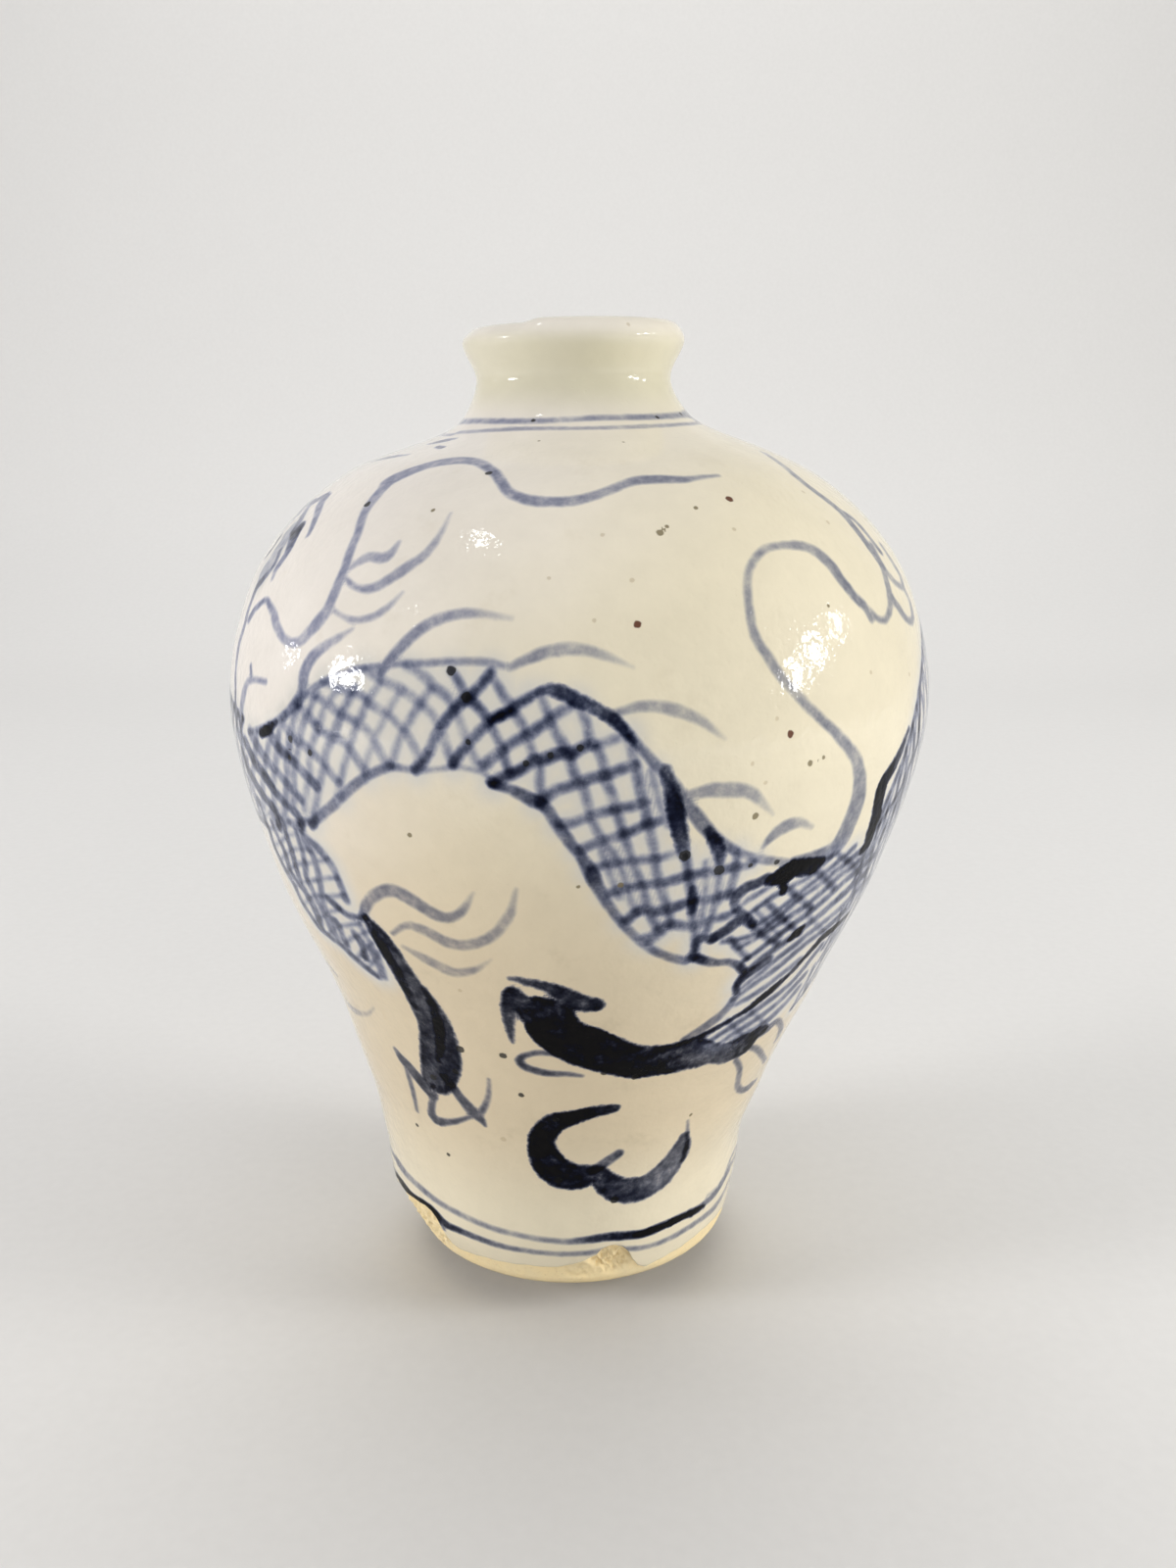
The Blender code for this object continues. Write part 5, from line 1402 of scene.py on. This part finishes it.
def glaze_colour(tree):
    """The bare glaze: warm white, cooler with a painted sheen to the upper left, cream with painted shade
    lower down, greener where it pools.
    """
    cloud = tree.noise(38, 3.0, 0.55)
    grain = tree.noise(5, 3.0, 0.6)
    x, _, z = tree.axes()
    # painted sheen: the upper left is lightened and cooled as if a lamp's reflection lay there, over a cooler
    # glaze tone
    lean = tree.scaled(x, -9.0, tree.times(z, 7.5))
    cool_and_sheen = tree.times(tree.step(tree.math("ADD", lean, tree.times(cloud, 0.3)), *COOL_SHEEN_SIDE), 0.85)
    # painted shade: a darker cream below the belly's widest part, where less light falls, fading out towards
    # the foot; partly a warmer glaze too
    low = tree.step(tree.scaled(cloud, 0.03, tree.scaled(x, 0.45, z)), *CREAM_SHADE_BELOW, 1.0, 0.0)
    low = tree.times(low, tree.step(z, *CREAM_SHADE_FADES, 0.15, 1.0))
    colour = tree.blend(tree.times(low, 0.80), WARM_WHITE, CREAM_AND_SHADE)
    colour = tree.blend(cool_and_sheen, colour, COOL_WHITE_AND_SHEEN)
    stain = tree.step(tree.noise(12, 4.0, 0.65), 0.58, 0.74)
    colour = tree.blend(tree.times(stain, tree.scaled(low, 0.32, 0.13)), colour, STAIN)
    neck = tree.times(tree.step(z, *POOL_BEGINS), tree.step(z, *POOL_THINS, 1.0, 0.25))
    pool = tree.times(neck, tree.scaled(cloud, 0.6, 0.55))
    colour = tree.blend(tree.times(pool, 0.8, clamp=True), colour, GREEN_GLAZE)
    mottle = tree.scaled(tree.centred(cloud), 0.16, 1.0)
    mottle = tree.scaled(tree.centred(grain), 0.10, mottle)
    shade = tree.add("ShaderNodeCombineXYZ")
    for socket in shade.inputs:
        tree.join(mottle, socket)
    return tree.blend(1.0, colour, shade.outputs[0], "MULTIPLY")


# Layers of strokes: (name, softness, raggedness, size of the ragged lumps, darkening at the rim)
LAYER_LOOKS = [
    ("line", 0.50, 0.40, 2.2, 0.0), ("brush", 0.52, 0.80, 1.2, 0.10), ("across", 0.70, 0.45, 2.2, 0.0),
    ("along", 0.70, 0.45, 2.2, 0.0),
]


def stroke_density(tree, look, streak):
    """Pigment density of one layer of strokes."""
    name, soft, wobble, lump, rim = look
    gap = tree.length(tree.field(f"{name}_off").outputs["Vector"])
    size = tree.add("ShaderNodeSeparateXYZ")
    tree.join(tree.field(f"{name}_size").outputs["Vector"], size.inputs[0])
    half, tone, coarse = size.outputs
    ragged = tree.times(tree.centred(tree.noise(lump, 2.0)), wobble)
    exact = tree.math("SUBTRACT", gap, half)
    depth = tree.math("ADD", tree.math("MAXIMUM", exact, tree.math("SUBTRACT", coarse, 0.12)), ragged)
    cover = tree.step(depth, -soft, soft * 1.15, 1.0, 0.0)
    density = tree.times(cover, tone)
    if rim:
        density = tree.times(density, tree.step(depth, -1.7, -0.5, 1.0 - rim / 2, 1.0 + rim / 2))
    return tree.times(density, streak)


def pigment(tree):
    """Pigment density at a point, and the share of pale wash between the lines of a net."""
    flow = tree.noise(2.6, 3.0, 0.65)
    blot = tree.noise(6.5, 2.0, 0.5)
    streak = tree.scaled(tree.centred(flow), 1.9, 1.0)
    streak = tree.scaled(tree.centred(blot), 1.1, streak)
    streak = tree.math("MAXIMUM", streak, 0.50)
    total = None
    for look in LAYER_LOOKS:
        density = stroke_density(tree, look, streak)
        total = density if total is None else tree.math("ADD", total, density)
    wash = tree.times(tree.field("wash").outputs["Fac"], tree.scaled(flow, 0.5, 0.65), clamp=True)
    return total, wash


def paint_glaze():
    """Glaze with the painting in it, read from each skin's stroke fields."""
    tree = Tree("glaze_painted")
    total, wash = pigment(tree)
    base = tree.blend(wash, glaze_colour(tree), NET_WHITE)
    total = tree.scaled(wash, 0.06, total)
    inks = tree.add("ShaderNodeCombineXYZ")
    for k, socket in enumerate(inks.inputs):
        # a thin layer lets more of the blue through than a thick one
        depth = tree.times(total, tree.step(total, 0.2, 3.2, THIN_COBALT[k], COBALT[k]))
        tree.join(tree.math("EXPONENT", tree.times(depth, -1.0)), socket)
    colour = tree.blend(1.0, base, inks.outputs[0], "MULTIPLY")
    # burnt, matt black where the pigment lies thickest
    burnt = tree.step(total, BURNT_FROM, BURNT_TO)
    colour = tree.blend(burnt, colour, BURNT)
    colour, speck = spot_colour(tree, colour)
    shine = tree.scaled(tree.noise(9, 3.0), 0.05, 0.05)
    shine = tree.scaled(burnt, 0.16, shine)
    shine = tree.scaled(speck, 0.15, shine)
    tree.join(tree.step(total, 1.5, 5.0, 0.46, 0.05), tree.shader.inputs["Specular IOR Level"])
    calm = tree.step(tree.axes()[2], *CALM_ABOVE, 1.0, 0.25)
    crinkle, peel, swell = (tree.times(tree.noise(size, 2.0, 0.5), calm) for size in (1.7, 3.4, 9.0))
    pores = tree.step(tree.noise(0.9, 1.0), 0.23, 0.30, 0.0, 1.0)
    tree.bump([(swell, 0.15, 0.9), (peel, 0.07, 0.9), (crinkle, 0.085, 0.9), (pores, 0.03, 0.5),
               (speck, -0.04, 0.5)])
    finish_glaze(tree, colour, shine)
    return tree.material


def spot_colour(tree, colour):
    """Iron and kiln spots, each with its own kind of colour."""
    gap = tree.length(tree.field("spot_off").outputs["Vector"])
    size = tree.add("ShaderNodeSeparateXYZ")
    tree.join(tree.field("spot_size").outputs["Vector"], size.inputs[0])
    ragged = tree.times(tree.centred(tree.noise(0.9, 2.0)), 0.5)
    depth = tree.math("ADD", tree.math("SUBTRACT", gap, size.outputs[0]), ragged)
    cover = tree.step(depth, -0.15, 0.14, 1.0, 0.0)
    for kind, (shade, strength) in enumerate(zip(SPOT_COLOURS, SPOT_STRENGTHS)):
        is_kind = tree.math("COMPARE", size.outputs[1], float(kind), 0.3)
        share = tree.times(tree.times(cover, is_kind), strength)
        colour = tree.blend(share, colour, shade)
    return colour, cover


def finish_glaze(tree, colour, shine):
    shader = tree.shader
    tree.join(colour, shader.inputs["Base Color"])
    tree.join(shine, shader.inputs["Roughness"])
    shader.inputs["IOR"].default_value = GLAZE_IOR


def plain_glaze():
    """The coat inside the jar."""
    tree = Tree("glaze_inside")
    colour = glaze_colour(tree)
    shine = tree.scaled(tree.noise(9, 3.0), 0.08, 0.08)
    tree.bump([(tree.noise(9.0), 0.10, 0.9), (tree.noise(2.4), 0.03, 0.7)])
    finish_glaze(tree, colour, shine)
    return tree.material


def clay_material(name, pale, deep, dark):
    """Bare fired clay: buff, grainy, ochre in places and dirty along the resting edge."""
    tree = Tree(name)
    patch = tree.noise(9, 4.0, 0.6)
    grain = tree.noise(0.9, 4.0, 0.7)
    colour = tree.blend(tree.step(patch, 0.36, 0.64), pale, deep)
    colour = tree.blend(tree.step(grain, 0.52, 0.78, 0.0, 0.5), colour, dark)
    worn = tree.step(tree.scaled(patch, 0.0016, tree.axes()[2]), 0.0008, 0.0028, 0.6, 0.0)
    colour = tree.blend(worn, colour, tuple(c * 0.55 for c in dark))
    tree.join(colour, tree.shader.inputs["Base Color"])
    tree.join(tree.scaled(grain, 0.2, 0.68), tree.shader.inputs["Roughness"])
    tree.bump([(patch, 0.25, 0.6), (grain, 0.09, 0.9)])
    return tree.material


def build_glaze(material):
    points, normals, bands = outside_grid()
    flat, flat_normals = points.reshape(-1, 3), normals.reshape(-1, 3)
    fields = {}
    wash = np.zeros(len(flat))
    for name, strokes in LAYERS.items():
        off, size, near = paint_fields(flat, flat_normals, strokes)
        fields[f"{name}_off"] = off
        fields[f"{name}_size"] = size
        if name in ("across", "along"):
            wash = np.maximum(wash, near)
    off, size, kind = spot_fields(flat, flat_normals)
    fields["spot_off"] = off
    fields["spot_size"] = np.stack([size, kind, 0 * size], axis=-1)
    shape = points.shape[:2]
    for (name, _, _), (first, last) in zip(BANDS, bands):
        part = slice(first, last + 1)
        piece, inner_rows = band_piece(name, points[part], normals[part])
        spare = inner_rows * shape[1]
        for key, values in fields.items():
            rows = values.reshape(*shape, 3)[part].reshape(-1, 3)
            pad = np.tile([0.0, 0.0, FAR] if key.endswith("off") else [0.1, 0.0, REACH], (spare, 1))
            add_field(piece.data, key, np.vstack([rows, pad]), "FLOAT_VECTOR")
        rows = wash.reshape(shape)[part].ravel()
        add_field(piece.data, "wash", np.concatenate([rows, np.zeros(spare)]))
        piece.data.materials.append(material)
        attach(piece, "root")
        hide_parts("outer_glaze")


def build_inside(material):
    chain = unleaned(side_chain("inner_glaze"))
    if chain[0, 1] > chain[-1, 1]:
        chain = chain[::-1]
    corner = int(np.argmax(chain[:, 1]))
    profile = np.vstack([spread(through(part, 6), 2.5) for part in (chain[:corner + 1], chain[corner + 1:])])
    profile[[0, -1], 0] = 0.0
    piece = turned("glaze_inside", profile, 180)
    piece.data.materials.append(material)
    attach(piece, "root")
    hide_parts("inner_glaze")


def build_foot(material):
    piece = turned("foot", foot_profile(), 720, carve_foot)
    piece.data.materials.append(material)
    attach(piece, "root")
    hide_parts("foot_and_floor")


def dress_nodes(clay, slip):
    """The clay sections and slip under the glaze keep their CAD form."""
    for name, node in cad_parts.items():
        node.data.materials.clear()
        node.data.materials.append(slip if name.endswith("slip") else clay)


# The floor's (depth, height) line and half its width, in metres
FLOOR_LINE = [(-1.6, 0.0), (0.5, 0.0), (0.75, 0.02), (0.95, 0.12), (1.05, 0.35), (1.08, 0.8), (1.1, 2.2)]
FLOOR_HALF = 2.2


def build_stage():
    """A pale floor that curves up behind the jar."""
    line = through(FLOOR_LINE, 10)
    points = [(x, y, z) for y, z in line for x in (-FLOOR_HALF, FLOOR_HALF)]
    faces = [(2 * i, 2 * i + 1, 2 * i + 3, 2 * i + 2) for i in range(len(line) - 1)]
    mesh = bpy.data.meshes.new("studio_floor")
    mesh.from_pydata(points, [], faces)
    mesh.shade_smooth()
    floor = bpy.data.objects.new("studio_floor", mesh)
    bpy.context.collection.objects.link(floor)
    tree = Tree("studio_paper")
    grain = tree.noise(3.0, 3.0)
    tree.join(tree.blend(grain, (0.66, 0.655, 0.645), (0.70, 0.695, 0.685)), tree.shader.inputs["Base Color"])
    tree.shader.inputs["Roughness"].default_value = 0.85
    tree.shader.inputs["Specular IOR Level"].default_value = 0.2
    mesh.materials.append(tree.material)


def add_light(name, at, toward, size, power, colour=(1.0, 1.0, 1.0), mirrored=False):
    light = bpy.data.lights.new(name, "AREA")
    light.shape = "ELLIPSE"
    light.size, light.size_y = size
    light.energy = power
    light.color = colour
    lamp = bpy.data.objects.new(name, light)
    bpy.context.collection.objects.link(lamp)
    lamp.location = at
    lamp.rotation_euler = (Vector(toward) - Vector(at)).to_track_quat("-Z", "Y").to_euler()
    lamp.visible_glossy = mirrored


def mirrored_at(pixel, distance):
    """Where a lamp stands, in metres, to be mirrored in the glaze at a pixel of the photograph."""
    spot = Vector(thrown(pixel))
    normal = JAR.find_nearest(spot)[1].normalized()
    view = (spot - CAMERA_AT).normalized()
    return spot * MM + view.reflect(normal) * distance


# Small lamps that show in the glaze: (pixel, distance, size, power)
SPARKS = [
    ((352, 690), 1.25, (0.27, 0.15), 2.15), ((296, 664), 1.25, (0.05, 0.03), 0.12),
    ((497, 546), 1.5, (0.18, 0.09), 0.55), ((412, 622), 1.4, (0.06, 0.04), 0.10),
    ((815, 686), 1.25, (0.14, 0.17), 0.95), ((834, 660), 1.25, (0.16, 0.17), 1.2),
    ((852, 636), 1.25, (0.12, 0.14), 0.45),
]
# The soft lamps stand where the photographed lamps do, and don't show in the glaze.
MIDDLE = (0.0, 0.0, 0.11)
KEY_PIXEL, FILL_PIXEL = (356, 692), (828, 652)
LAMP_DISTANCE = 1.25
SKY = (1.0, 0.99, 0.975, 1.0)
SKY_STRENGTH = 0.31


def build_lights():
    for number, (pixel, distance, size, power) in enumerate(SPARKS):
        add_light(f"spark_{number}", mirrored_at(pixel, distance), MIDDLE, size, power, mirrored=True)
    add_light("key", mirrored_at(KEY_PIXEL, LAMP_DISTANCE), MIDDLE, (0.5, 0.4), 8.8, (1.0, 0.98, 0.98))
    add_light("fill", mirrored_at(FILL_PIXEL, LAMP_DISTANCE), MIDDLE, (0.45, 0.62), 6.25, (1.0, 0.98, 0.94))
    add_light("low", (0.6, -0.75, 0.14), (0.0, 0.0, 0.04), (0.6, 0.4), 2.6, (1.0, 0.98, 0.95))
    add_light("top", (0.1, 0.1, 1.5), MIDDLE, (1.4, 1.2), 5.2)
    add_light("back", (0.0, 0.9, 0.9), MIDDLE, (1.4, 0.5), 4.0)
    world = bpy.data.worlds.new("studio")
    bpy.context.scene.world = world
    world.use_nodes = True
    sky = world.node_tree.nodes["Background"]
    sky.inputs["Color"].default_value = SKY
    sky.inputs["Strength"].default_value = SKY_STRENGTH


def build_camera():
    data = bpy.data.cameras.new("photo_camera")
    data.sensor_width = SENSOR
    data.sensor_fit = "AUTO"
    data.lens = FOCAL * SENSOR / max(PHOTO_SIZE)
    camera = bpy.data.objects.new("photo_camera", data)
    bpy.context.collection.objects.link(camera)
    camera.location = CAMERA_AT * MM
    camera.rotation_euler = (math.pi / 2 - CAMERA_DOWN, 0.0, 0.0)
    bpy.context.scene.camera = camera


# Pale, deep and dark tones
CLAY_TONES = ((0.82, 0.69, 0.43), (0.88, 0.72, 0.42), (0.58, 0.43, 0.23))
SLIP_TONES = ((0.70, 0.58, 0.42), (0.66, 0.53, 0.38), (0.50, 0.38, 0.24))
CLAY = clay_material("bare_clay", *CLAY_TONES)
dress_nodes(CLAY, clay_material("luting_slip", *SLIP_TONES))
build_glaze(paint_glaze())
build_inside(plain_glaze())
build_foot(CLAY)
build_stage()
build_lights()
build_camera()
bpy.context.scene.view_settings.view_transform = "Standard"
